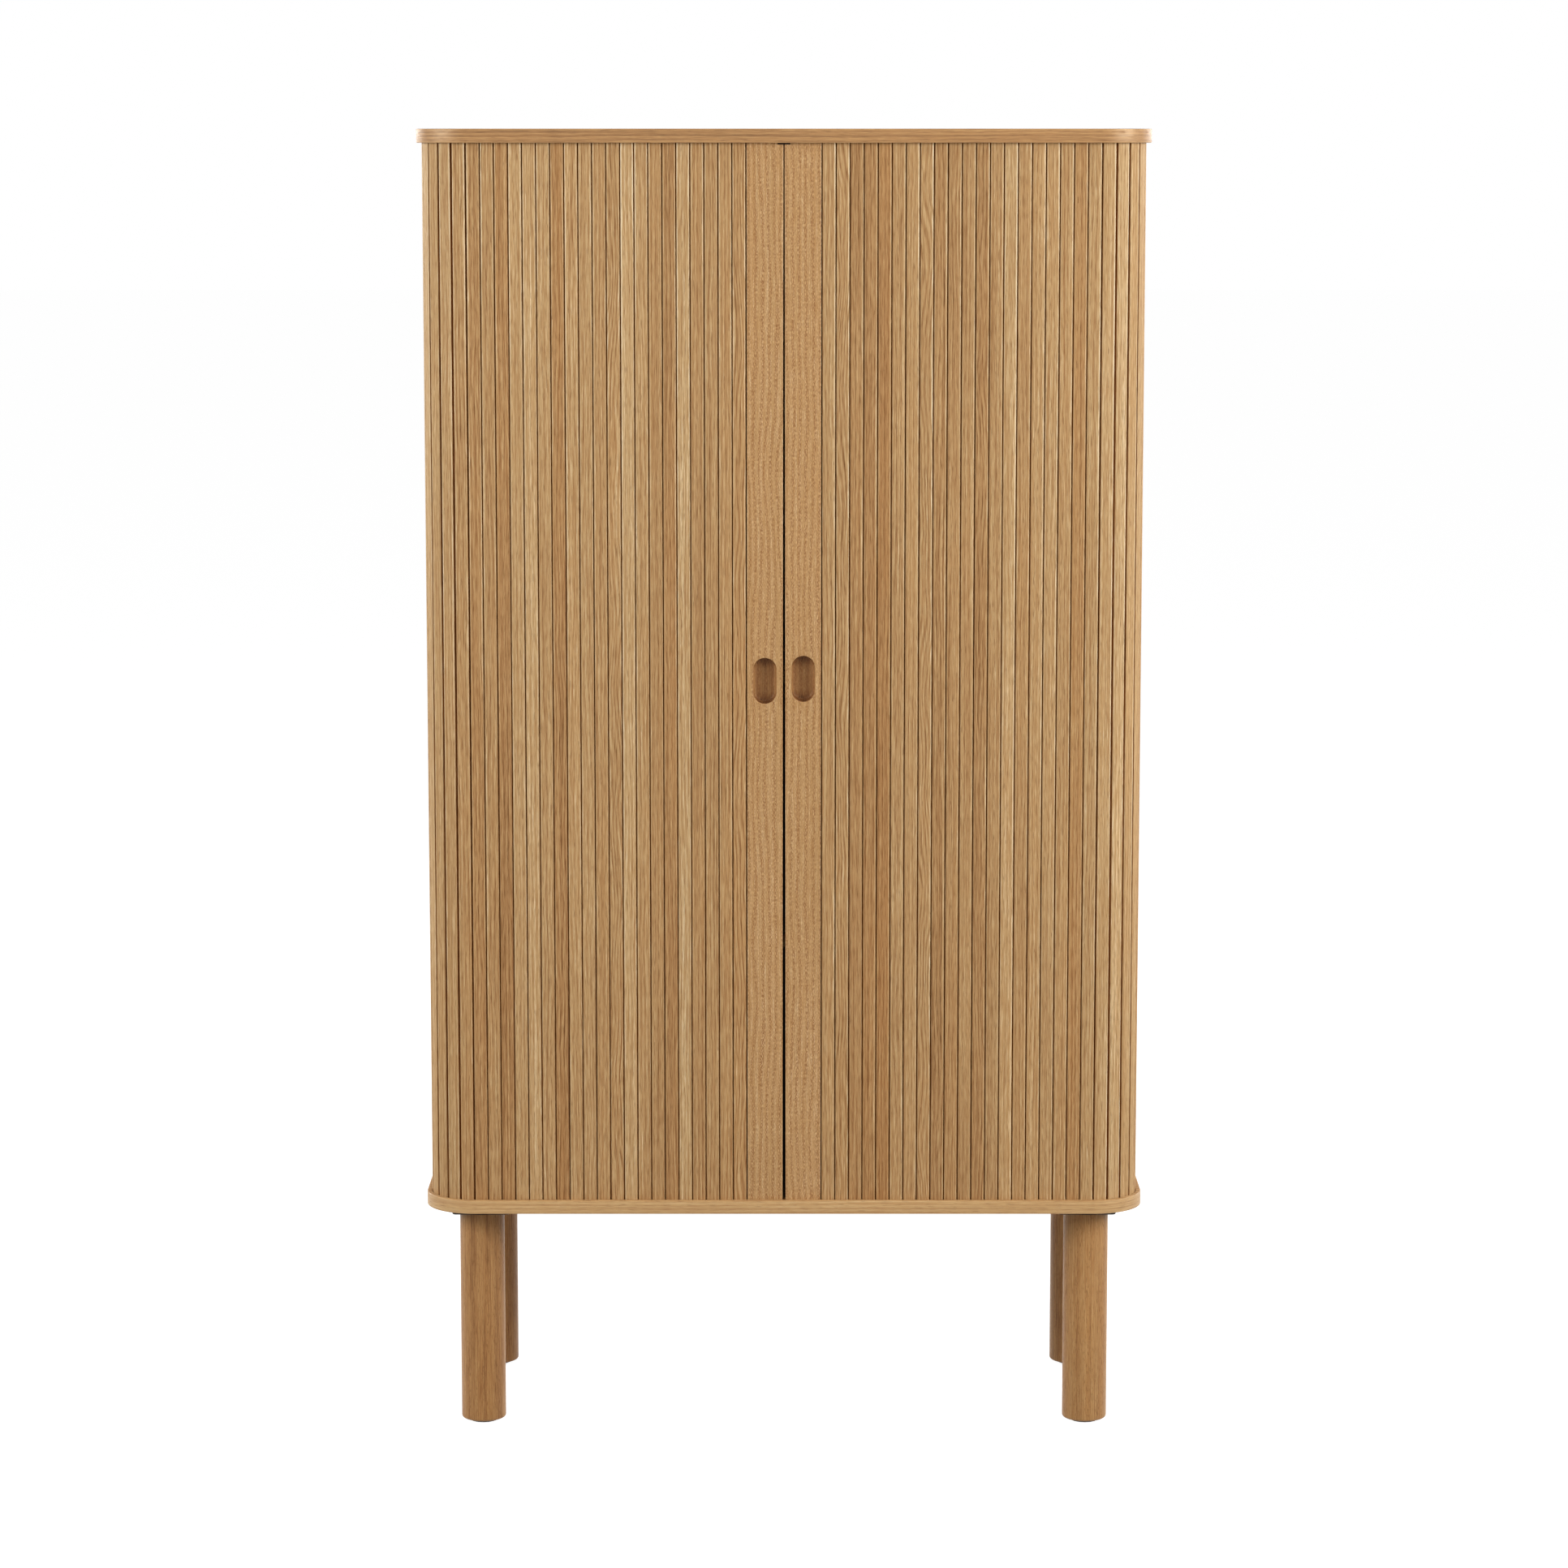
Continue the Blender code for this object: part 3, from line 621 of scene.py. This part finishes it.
def fillet(corners, closed=True, steps=ROUND_STEPS):
    """Outline through corners of (x, y, radius), each rounded where it has a radius."""
    points = []
    count = len(corners)
    for index, (x, y, radius) in enumerate(corners):
        corner = Vector((x, y))
        inside = closed or 0 < index < count - 1
        if not radius or not inside:
            points.append(corner)
            continue
        before = (Vector(corners[index - 1][:2]) - corner).normalized()
        after = (Vector(corners[(index + 1) % count][:2]) - corner).normalized()
        half = before.angle(after) / 2
        middle = corner + (before + after).normalized() * radius / math.sin(half)
        start = corner + before * radius / math.tan(half) - middle
        end = corner + after * radius / math.tan(half) - middle
        for step in range(steps + 1):
            share = step / steps
            angle = share * (math.pi - 2 * half)
            blend = math.sin(math.pi - 2 * half)
            first = math.sin(math.pi - 2 * half - angle) / blend
            second = math.sin(angle) / blend
            points.append(middle + start * first + end * second)
    return points


def loft(solid, rings, closed=False):
    """Faces between rings of points. Open ends are capped."""
    rows = [[solid.verts.new(point) for point in ring] for ring in rings]
    faces = []
    pairs = list(zip(rows, rows[1:]))
    if closed:
        pairs.append((rows[-1], rows[0]))
    for low, high in pairs:
        for index in range(len(low)):
            after = (index + 1) % len(low)
            corners = (low[index], low[after], high[after], high[index])
            faces.append(solid.faces.new(corners))
    if not closed:
        faces.append(solid.faces.new(rows[0][::-1]))
        faces.append(solid.faces.new(rows[-1]))
    return faces


def rounded_rectangle(half_x, half_y, radius, height, middle=(0.0, 0.0)):
    """Level ring round a rectangle with round corners."""
    ring = []
    for quadrant, (sign_x, sign_y) in enumerate(((1, 1), (-1, 1), (-1, -1), (1, -1))):
        for step in range(ARC_STEPS + 1):
            angle = math.pi / 2 * (quadrant + step / ARC_STEPS)
            x = middle[0] + sign_x * (half_x - radius) + radius * math.cos(angle)
            y = middle[1] + sign_y * (half_y - radius) + radius * math.sin(angle)
            ring.append((x, y, height))
    return ring


def ring_about_corners(radius, height):
    """Level ring round the four corner centres at one radius."""
    return rounded_rectangle(CORNER_X + radius, CORNER_Y + radius, radius, height)


def circle(radius, height, middle):
    """Level ring about an upright axis."""
    ring = []
    for step in range(TURN_STEPS):
        angle = 2 * math.pi * step / TURN_STEPS
        x = middle[0] + radius * math.cos(angle)
        ring.append((x, middle[1] + radius * math.sin(angle), height))
    return ring


# Boards


def run_round_board(place):
    """Length round the board's edge to a place on it, from the middle of the back."""
    x, y = place.x, place.y
    quarter = BOARD_RADIUS * math.pi / 2
    if abs(x) <= CORNER_X:
        run = x if y > 0 else 2 * CORNER_X + 2 * quarter + 2 * CORNER_Y - x
    elif abs(y) <= CORNER_Y:
        run = CORNER_X + quarter + CORNER_Y - y
    else:
        angle = math.atan2(abs(x) - CORNER_X, abs(y) - CORNER_Y)
        turn = angle if y > 0 else math.pi - angle
        straight = CORNER_X if y > 0 else CORNER_X + 2 * CORNER_Y
        run = straight + turn * BOARD_RADIUS
    if x < 0 and abs(x) > CORNER_X:
        run = 2 * (2 * CORNER_X + 2 * quarter + 2 * CORNER_Y) - run
    return run


def band_grain(offset):
    """Grain that follows the edge band round the board."""
    round_all = 2 * (2 * CORNER_X + BOARD_RADIUS * math.pi + 2 * CORNER_Y)

    def places(face):
        runs = [run_round_board(corner.vert.co) % round_all for corner in face.loops]
        furthest = max(runs)
        found = []
        for corner, run in zip(face.loops, runs):
            if furthest - run > round_all / 2:
                run += round_all
            found.append(Vector((corner.vert.co.z, 0.0, run)) + offset)
        return found

    return places


def make_board(name, groove_floor, chance, materials):
    """A board with the curtain's groove in one face, and the band round its edge."""
    low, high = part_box(name)
    upward = name == "bottom_board"
    face, back = (high.z, low.z) if upward else (low.z, high.z)
    inner = BACK_RADIUS - CANVAS_THICKNESS - GROOVE_INNER_PLAY
    outer = CURTAIN_RADIUS + GROOVE_OUTER_PLAY
    core = BOARD_RADIUS - BAND_THICKNESS
    floor = low.z + groove_floor if upward else high.z - groove_floor
    path = [
        (inner, face),
        (inner, floor),
        (outer, floor),
        (outer, face),
        (core, face),
        (core, back),
    ]
    solid = new_solid()
    faces = loft(solid, [ring_about_corners(radius, height) for radius, height in path])
    paint(solid, faces, turned_grain((1, 2, 0), random_offset(chance)), VENEER_WOOD)
    veneer = [materials["veneer"]]
    finish_mesh(name + "_veneer", solid, veneer, "carcass", [name])

    corners = [
        (core, low.z, 0.0),
        (BOARD_RADIUS, low.z, BAND_ROUND),
        (BOARD_RADIUS, high.z, BAND_ROUND),
        (core, high.z, 0.0),
    ]
    solid = new_solid()
    rings = [ring_about_corners(radius, height) for radius, height in fillet(corners)]
    faces = loft(solid, rings, closed=True)
    paint(solid, faces, band_grain(random_offset(chance)), BAND_WOOD[name])
    finish_mesh(name + "_edge_band", solid, [materials["band"]], "carcass")


# Curtains


def curtain_point(run):
    """Point and heading on the back of the slats, a length along the right-hand curtain."""
    if run <= FRONT_RUN:
        return Vector((LEAD_EDGE + run, -CORNER_Y - BACK_RADIUS)), 0.0
    run -= FRONT_RUN
    if run <= CORNER_RUN:
        angle = run / BACK_RADIUS
        turned = Vector((math.sin(angle), -math.cos(angle))) * BACK_RADIUS
        return Vector((CORNER_X, -CORNER_Y)) + turned, angle
    run -= CORNER_RUN
    if run <= SIDE_RUN:
        return Vector((CORNER_X + BACK_RADIUS, run - CORNER_Y)), math.pi / 2
    run -= SIDE_RUN
    if run <= CORNER_RUN:
        angle = run / BACK_RADIUS
        turned = Vector((math.cos(angle), math.sin(angle))) * BACK_RADIUS
        return Vector((CORNER_X, CORNER_Y)) + turned, math.pi / 2 + angle
    run -= CORNER_RUN
    return Vector((CORNER_X - run, CORNER_Y + BACK_RADIUS)), math.pi


def slat_frame(index):
    """Middle of a slat's back, the direction along the curtain, and the direction out."""
    middle, heading = curtain_point((index + 0.5) * PITCH)
    along = Vector((math.cos(heading), math.sin(heading)))
    outward = Vector((math.sin(heading), -math.cos(heading)))
    return middle, along, outward


def upright(outline, side, low, high):
    """Two level rings of an outline of the right-hand curtain, for either side."""
    sign = SIDES[side]
    return [[(sign * x, y, height) for x, y in outline] for height in (low, high)]


def slat_grain(side, middle, along, outward, offset):
    """Grain coordinates across, into and along one slat."""
    sign = SIDES[side]

    def places(face):
        found = []
        for corner in face.loops:
            x, y, z = corner.vert.co
            from_middle = Vector((sign * x, y)) - middle
            place = Vector((from_middle.dot(along), from_middle.dot(outward), z))
            found.append(place + offset)
        return found

    return places


def slat_character(side, index, middle, along, half, chance):
    """The wood of a slat: how light it is across its section, how red and how figured, with a
    painted highlight along its rounded edges, painted shade on its narrow sides, painted
    sheen that leaves its foot redder, and painted light on the front corner.
    """
    red = chance.gauss(0.0, SLAT_RED_SPREAD)
    light = chance.gauss(0.0, SLAT_LIGHT_SPREAD) - RED_DARKENS * red
    figure = SLAT_FIGURE * chance.random() ** 3
    if index in DARK_SLATS[side]:
        light += DARK_SLAT[0]
        red += DARK_SLAT[1]
    if index in FIGURED_SLATS[side]:
        figure = 1.0
    # Painted light on the slats of the front corner
    first, last = STRIPS["corner_slats_{}"]
    if first <= index <= last:
        light += CORNER_PAINTED_LIGHT[side]
    inner, outer = (chance.uniform(*span) for span in HIGHLIGHT_SHARES[side])

    def found(place):
        across = (Vector((SIDES[side] * place.x, place.y)) - middle).dot(along)
        from_edge = half - abs(across)
        # Painted shade on the narrow sides, in the gaps between slats
        if from_edge < TOUCHING:
            return light - WALL_PAINTED_SHADE, red + WALL_PAINTED_SHADE_RED, figure
        rounded = math.sin(math.pi * min(1.0, from_edge / SLAT_SHOULDER[0]))
        share = outer if across > 0 else inner
        fall = (SLAT_TOP - place.z) / (SLAT_TOP - SLAT_BOTTOM)
        # Painted highlight along the rounded edges, fading towards the floor
        painted_highlight = PAINTED_EDGE_HIGHLIGHT * share * rounded * (1 - HIGHLIGHT_FADE[side] * max(HIGHLIGHT_EVEN_TOP, fall))
        # Painted sheen that leaves the foot of a slat redder than its head
        return light + painted_highlight, red + PAINTED_SHEEN_RED * (fall - 0.5), figure

    return found


def slat_section(half):
    """A slat's section: flat at the back and softly rounded at both edges of its face."""
    wide, deep = SLAT_SHOULDER
    shoulder = []
    for step in range(ROUND_STEPS + 2):
        angle = math.pi / 2 * step / (ROUND_STEPS + 1)
        x = -half + wide * (1 - math.cos(angle))
        shoulder.append((x, SLAT_THICKNESS - deep * (1 - math.sin(angle))))
    mirrored = [(-x, y) for x, y in reversed(shoulder)]
    return [(-half, 0.0), *shoulder, *mirrored, (half, 0.0)]


def make_strip(name, side, first, last, body, chance, materials):
    """The slats of one strip, on their canvas."""
    half = (PITCH - SLAT_GAP) / 2
    outline = slat_section(half)
    solid = new_solid()
    for index in range(first, last + 1):
        middle, along, outward = slat_frame(index)
        placed = [middle + along * u + outward * v for u, v in outline]
        faces = loft(solid, upright(placed, side, SLAT_BOTTOM, SLAT_TOP))
        rule = slat_grain(side, middle, along, outward, random_offset(chance))
        paint(solid, faces, rule, slat_character(side, index, middle, along, half, chance))
        across = Vector((SIDES[side] * along.x, along.y, 0.0))
        for face in faces:
            face.normal_update()
            sideways = abs(face.normal.dot(across)) > WALL_FACING
            face.material_index = ON_WALL if sideways else ON_FACE

    reach = (PITCH - SEAT) / 2
    outer = []
    inner = []
    for index in range(first, last + 1):
        middle, along, outward = slat_frame(index)
        start = -reach if index == first else -half
        end = reach if index == last else half
        for u in (start, end):
            outer.append(middle + along * u - outward * CANVAS_THICKNESS * CANVAS_SINK)
            inner.append(middle + along * u - outward * CANVAS_THICKNESS)
    faces = loft(solid, upright(outer + inner[::-1], side, SLAT_BOTTOM, SLAT_TOP))
    paint(solid, faces, turned_grain((0, 1, 2), Vector((0.0, 0.0, 0.0))))
    for face in faces:
        face.material_index = ON_CANVAS
    used = [materials["slat"], materials["canvas"], materials["wall"]]
    return finish_mesh(name + "_oak", solid, used, body, [name])


def make_curtain(side, chance, materials):
    """Every strip of one door. Those on the front gather at the corner as it opens."""
    for pattern, (first, last) in STRIPS.items():
        name = pattern.format(side)
        body = RIDES_WITH.get(pattern, "carcass").format(side)
        piece = make_strip(name, side, first, last, body, chance, materials)
        if pattern.startswith("front"):
            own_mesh(piece)


# Lead slats


def stadium(half_width, half_height, middle, depth):
    """Upright ring of a finger pull at one depth, with half-round ends."""
    ring = []
    for end, start in ((1, 0.0), (-1, math.pi)):
        for step in range(ARC_STEPS + 1):
            angle = start + math.pi * step / ARC_STEPS
            x = middle[0] + half_width * math.cos(angle)
            z = middle[1] + end * (half_height - half_width) + half_width * math.sin(angle)
            ring.append((x, depth, z))
    return ring


def cut(solid, cutters):
    """What is left of a solid when shapes are taken out of it, as a new bmesh."""
    piece, *others = [new_object("shape", shape) for shape in (solid, *cutters)]
    for cutter in others:
        boolean = piece.modifiers.new("cut", "BOOLEAN")
        boolean.operation = "DIFFERENCE"
        boolean.solver = "EXACT"
        boolean.object = cutter
    bpy.context.view_layer.update()
    evaluated = piece.evaluated_get(bpy.context.evaluated_depsgraph_get())
    mesh = bpy.data.meshes.new_from_object(evaluated)
    left = bmesh.new()
    left.from_mesh(mesh)
    bpy.data.meshes.remove(mesh)
    for shape in (piece, *others):
        bpy.data.objects.remove(shape)
    return left


def pull_middle(side):
    """Middle of a finger pull as (x, z)."""
    return SIDES[side] * (LEAD_LOW.x + PULL_INSET), BOTTOM_HIGH.z + PULL_HEIGHTS[side]


def pull_cutter(side):
    """The space of a finger pull: rounded rim, straight sides, coved and hollowed floor."""
    edge = PULL_WIDTH / 2 - PULL_COVE
    profile = fillet(
        [
            (PULL_CUT, PULL_RIM, 0.0),
            (PULL_CUT, 0.0, 0.0),
            (0.0, 0.0, PULL_RIM),
            (0.0, -PULL_DEPTH, PULL_COVE),
            (-PULL_COVE - edge * PULL_FLAT, -PULL_DEPTH, 0.0),
        ],
        closed=False,
        steps=PROFILE_STEPS,
    )
    for share in PULL_DISH_RINGS:
        profile.append((-PULL_COVE - edge * share, -PULL_DEPTH - PULL_DISH * share))
    rings = []
    for wider, height in profile:
        size = (PULL_WIDTH / 2 + wider, PULL_HEIGHT / 2 + wider)
        rings.append(stadium(*size, pull_middle(side), -FACE_Y - height))
    solid = bmesh.new()
    loft(solid, rings)
    return solid


def box_solid(solid, low, high):
    """Faces of a box between two corners."""
    (x0, y0, z0), (x1, y1, z1) = low, high
    rings = [[(x0, y0, z), (x1, y0, z), (x1, y1, z), (x0, y1, z)] for z in (z0, z1)]
    return loft(solid, rings)


def door_gap_edge(side, height):
    """How far a door's inner edge is from the middle of the cupboard at a height."""
    fall = (LEAD_HIGH.z - height) / (LEAD_HIGH.z - LEAD_LOW.z)
    narrow, wide = DOOR_GAP
    return SIDES[side] * (narrow + (wide - narrow) * max(0.0, fall) ** DOOR_GAP_BOW) / 2


def lead_plank(side, low, high):
    """A plank with a tongue at each end, its inner edge bowed out towards the floor."""
    tongue = low.y + SLAT_THICKNESS + CANVAS_THICKNESS
    foot = BOTTOM_HIGH.z + LEAD_END_PLAY
    head = TOP_LOW.z - LEAD_END_PLAY
    outline = [
        (low.y, low.z),
        (low.y, high.z),
        (tongue, high.z),
        (tongue, head),
        (high.y, head),
        (high.y, foot),
        (tongue, foot),
        (tongue, low.z),
    ]
    outer = max(low.x, high.x, key=abs)
    solid = bmesh.new()
    loft(solid, [[(x, y, z) for y, z in outline] for x in (0.0, outer)])
    for step in range(1, BOW_STEPS):
        parts = [*solid.verts, *solid.edges, *solid.faces]
        level = Vector((0.0, 0.0, low.z + (high.z - low.z) * step / BOW_STEPS))
        bmesh.ops.bisect_plane(solid, geom=parts, plane_co=level, plane_no=(0, 0, 1))
    for vertex in solid.verts:
        if abs(vertex.co.x) < abs(outer) / 2:
            vertex.co.x = door_gap_edge(side, vertex.co.z)
    front = []
    for edge in solid.edges:
        start, end = (vertex.co for vertex in edge.verts)
        if max(start.y, end.y) < low.y + SEAT and abs(start.z - end.z) > LEAD_ROUND:
            front.append(edge)
    bmesh.ops.bevel(
        solid,
        geom=front,
        offset=LEAD_ROUND,
        segments=ROUND_STEPS,
        profile=0.5,
        affect="EDGES",
    )
    return solid


def notch_cutter(low, high):
    """Room for the door stop, at the top of the door gap."""
    width, height = STOP_NOTCH
    front = (-width / 2, low.y - height, TOP_LOW.z - height)
    rear = (width / 2, high.y + height, TOP_HIGH.z)
    solid = bmesh.new()
    box_solid(solid, front, rear)
    return solid


def lead_character(side, figure):
    """The wood of a lead slat: painted shade in the finger pull and on its inner sides, and a
    painted highlight along its rounded edges.
    """
    x, z = pull_middle(side)
    straight = (PULL_HEIGHT - PULL_WIDTH) / 2
    plain = (LEAD_LIGHT, 0.0, figure)

    def found(place):
        past = abs(place.z - z) - straight
        off = math.hypot(place.x - x, max(0.0, past))
        deep = place.y + FACE_Y
        # Painted shade on the sides that meet when the doors are shut
        if deep > LEAD_ROUND and abs(place.x) < DOOR_GAP[1]:
            return LEAD_GAP_PAINTED_SHADE
        # Painted highlight along the rounded edges
        if TOUCHING < deep < LEAD_HIGHLIGHT_DEPTH and off > PULL_WIDTH:
            return (PAINTED_EDGE_HIGHLIGHT / 2, 0.0, figure)
        if off > PULL_WIDTH / 2 + SEAT or not PULL_RIM / 2 <= deep <= PULL_REACH:
            return plain
        # Painted shade in the finger pull, darkest at its ends
        ends = min(1.0, max(0.0, past) / (PULL_WIDTH / 2))
        return (-PULL_PAINTED_SHADE - PULL_END_PAINTED_SHADE * ends, 0.0, 0.0)

    return found


def make_lead(side, chance, materials):
    """A wide lead slat with its finger pull, stop notch and tongues."""
    name = f"lead_slat_{side}"
    low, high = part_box(name)
    solid = cut(lead_plank(side, low, high), [pull_cutter(side), notch_cutter(low, high)])
    add_layers(solid)
    grain = turned_grain((0, 1, 2), random_offset(chance))
    paint(solid, solid.faces, grain, lead_character(side, LEAD_FIGURE[side]))
    oak_face = [materials["lead"]]
    piece = finish_mesh(name + "_oak", solid, oak_face, f"{side}_door", [name])
    piece.modifiers.new("flat_faces", "WEIGHTED_NORMAL").keep_sharp = True


# Legs, shelves and small pieces


def make_leg(end, side, chance, materials):
    """A turned leg with a rounded foot."""
    name = f"leg_{end}_{side}"
    low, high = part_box(name)
    middle = (low + high) / 2
    radius = (high.x - low.x) / 2
    profile = fillet(
        [
            (radius * LEG_FLAT, low.z, 0.0),
            (radius, low.z, LEG_FOOT_ROUND),
            (radius, high.z, LEG_HEAD_ROUND),
            (radius * LEG_FLAT, high.z, 0.0),
        ],
        closed=False,
        steps=PROFILE_STEPS,
    )
    solid = new_solid()
    faces = loft(solid, [circle(out, height, middle) for out, height in profile])
    offset = random_offset(chance)
    # Painted shade on the rear legs, under the body
    light, red = REAR_LEG_PAINTED_SHADE if end == "rear" else (LEG_LIGHT[side], 0.0)
    character = (light, red + chance.gauss(0.0, LEG_RED_SPREAD), LEG_FIGURE)
    paint(solid, faces, turned_grain((0, 1, 2), offset), character)
    finish_mesh(name + "_oak", solid, [materials["leg"]], "carcass", [name])


def make_plate(end, side, materials):
    """A black steel plate with round corners and softened edges."""
    name = f"leg_plate_{end}_{side}"
    low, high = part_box(name)
    middle = (low + high) / 2
    half = (high.x - low.x) / 2
    profile = fillet(
        [
            (-PLATE_CORNER / 2, low.z, 0.0),
            (0.0, low.z, PLATE_ROUND),
            (0.0, high.z, PLATE_ROUND),
            (-PLATE_CORNER / 2, high.z, 0.0),
        ],
        closed=False,
    )
    solid = new_solid()
    rings = []
    for wider, height in profile:
        size = half + wider
        deep = size - PLATE_SLOPE * (high.z - height) / (high.z - low.z)
        rings.append(rounded_rectangle(size, deep, PLATE_CORNER + wider, height, middle))
    loft(solid, rings)
    metal = [materials["black"]]
    finish_mesh(name + "_lacquered", solid, metal, "carcass", [name])


def make_shelf(number, chance, materials):
    """A shelf with softened edges."""
    name = f"shelf_{number}"
    low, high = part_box(name)
    solid = new_solid()
    box_solid(solid, low, high)
    bmesh.ops.bevel(
        solid,
        geom=solid.edges[:],
        offset=SHELF_ROUND,
        segments=2,
        profile=0.5,
        affect="EDGES",
    )
    paint(solid, solid.faces, turned_grain((1, 2, 0), random_offset(chance)), SHELF_WOOD)
    finish_mesh(name + "_oak", solid, [materials["shelf"]], "carcass", [name])


def frame_slot(name):
    """The record's material slot of a node."""
    for row in frame["record"]["subparts"]:
        if row["node"] == name:
            return row["material_slot"]
    return None


def dress(name, material):
    """Give a carried-over piece its material."""
    node = frame["nodes"][name]
    for holder in node.material_slots:
        holder.link = "OBJECT"
        holder.material = material


# Studio


def make_camera():
    """The photograph's viewpoint, looking a little down."""
    data = bpy.data.cameras.new("photo_camera")
    data.sensor_width = SENSOR
    data.lens = SENSOR * FOCAL_PIXELS / IMAGE
    data.shift_y = CAMERA_SHIFT
    camera = bpy.data.objects.new("photo_camera", data)
    camera.location = CAMERA_PLACE
    camera.rotation_euler = (math.radians(90 - CAMERA_TILT), 0.0, 0.0)
    bpy.context.scene.collection.objects.link(camera)
    bpy.context.scene.camera = camera


def background_rays(tree):
    """One for a ray that shows the background: straight, mirrored or through glass."""
    path = add_node(tree, "LightPath").outputs
    seen = maths(tree, "MAXIMUM", path["Is Camera Ray"], path["Is Glossy Ray"])
    return maths(tree, "MAXIMUM", seen, path["Is Transmission Ray"])


def make_world(ambient):
    """An even pale room, which shows as plain white."""
    world = bpy.data.worlds.new("studio")
    world.use_nodes = True
    tree = world.node_tree
    background = tree.nodes["Background"]
    background.inputs["Color"].default_value = (1.0, 1.0, 1.0, 1.0)
    seen = background_rays(tree)
    strength = maths(tree, "ADD", maths(tree, "MULTIPLY", seen, 1.0 - ambient), ambient)
    tree.links.new(strength, background.inputs["Strength"])
    bpy.context.scene.world = world


def make_floor():
    """A white floor that keeps the cupboard's shadow."""
    solid = bmesh.new()
    bmesh.ops.create_grid(solid, x_segments=1, y_segments=1, size=FLOOR_REACH)
    mesh = bpy.data.meshes.new("floor")
    solid.to_mesh(mesh)
    solid.free()
    material, tree, shader = new_material("white_floor", 0.9)
    shader.inputs["Base Color"].default_value = (FLOOR_TONE, FLOOR_TONE, FLOOR_TONE, 1.0)
    shader.inputs["Specular IOR Level"].default_value = 0.0
    shader.inputs["Emission Color"].default_value = (1.0, 1.0, 1.0, 1.0)
    glow = maths(tree, "MULTIPLY", background_rays(tree), FLOOR_GLOW)
    tree.links.new(glow, shader.inputs["Emission Strength"])
    mesh.materials.append(material)
    floor = bpy.data.objects.new("floor", mesh)
    bpy.context.scene.collection.objects.link(floor)


def make_lamp(name, azimuth, distance, height, size, power):
    """A soft box aimed at the cupboard. Azimuth 0 is in front of it, 90 at its right."""
    data = bpy.data.lights.new(name, "AREA")
    data.shape = "RECTANGLE"
    data.size, data.size_y = size
    data.energy = power
    lamp = bpy.data.objects.new(name, data)
    turn = math.radians(azimuth)
    lamp.location = (math.sin(turn) * distance, -math.cos(turn) * distance, height)
    towards = Vector(LIT_MIDDLE) - lamp.location
    lamp.rotation_euler = towards.to_track_quat("-Z", "Y").to_euler()
    lamp.visible_camera = False
    bpy.context.scene.collection.objects.link(lamp)


def make_studio():
    """Soft boxes off the front corners, off the rear corners and above."""
    make_world(AMBIENT)
    make_floor()
    for side, sign in SIDES.items():
        rows = {
            "front": (FRONT_AZIMUTH, FRONT_POWER[side]),
            "rear": (REAR_AZIMUTH, REAR_POWER),
        }
        for place, (azimuth, power) in rows.items():
            aim = (sign * azimuth, LAMP_DISTANCE, LAMP_HEIGHT, SOFT_BOX, power)
            make_lamp(f"soft_box_{place}_{side}", *aim)
    make_lamp("soft_box_above", *ABOVE_LAMP, ABOVE_POWER)


def make_materials():
    """Every material of the cupboard."""
    return {
        "slat": oak("oak_slats", SLAT_LOOK),
        "wall": oak("oak_slat_sides", WALL_LOOK),
        "lead": oak("oak_lead_slats", LEAD_LOOK),
        "veneer": oak("oak_board_faces", VENEER_LOOK),
        "band": oak("oak_edge_bands", BAND_LOOK),
        "leg": oak("oak_legs", LEG_LOOK),
        "shelf": oak("oak_shelves", PANEL_LOOK),
        "panel": oak("oak_panels", PANEL_LOOK, carried_over=True),
        "canvas": canvas(),
        "black": lacquered_metal(),
        "zinc": zinc(),
        "plastic": moulded_plastic(),
    }


def dress_carried_over(materials):
    """Materials for the nodes whose own shape is shown."""
    by_slot = {
        "oak_panel": materials["panel"],
        "black_metal": materials["black"],
        "zinc": materials["zinc"],
        "glide_plastic": materials["plastic"],
    }
    for name, node in frame["nodes"].items():
        if not node.hide_render:
            dress(name, by_slot[frame_slot(name)])


def make_cupboard():
    """Every piece that stands for a node, then the nodes that are shown themselves."""
    chance = random.Random(SEED)
    materials = make_materials()
    make_board("top_board", TOP_GROOVE_FLOOR, chance, materials)
    make_board("bottom_board", BOTTOM_GROOVE_FLOOR, chance, materials)
    for side in SIDES:
        make_curtain(side, chance, materials)
        make_lead(side, chance, materials)
        for end in ENDS:
            make_leg(end, side, chance, materials)
            make_plate(end, side, materials)
    for number in range(1, SHELVES + 1):
        make_shelf(number, chance, materials)
    dress_carried_over(materials)


bpy.context.scene.view_settings.view_transform = "Standard"
make_camera()
make_studio()
make_cupboard()
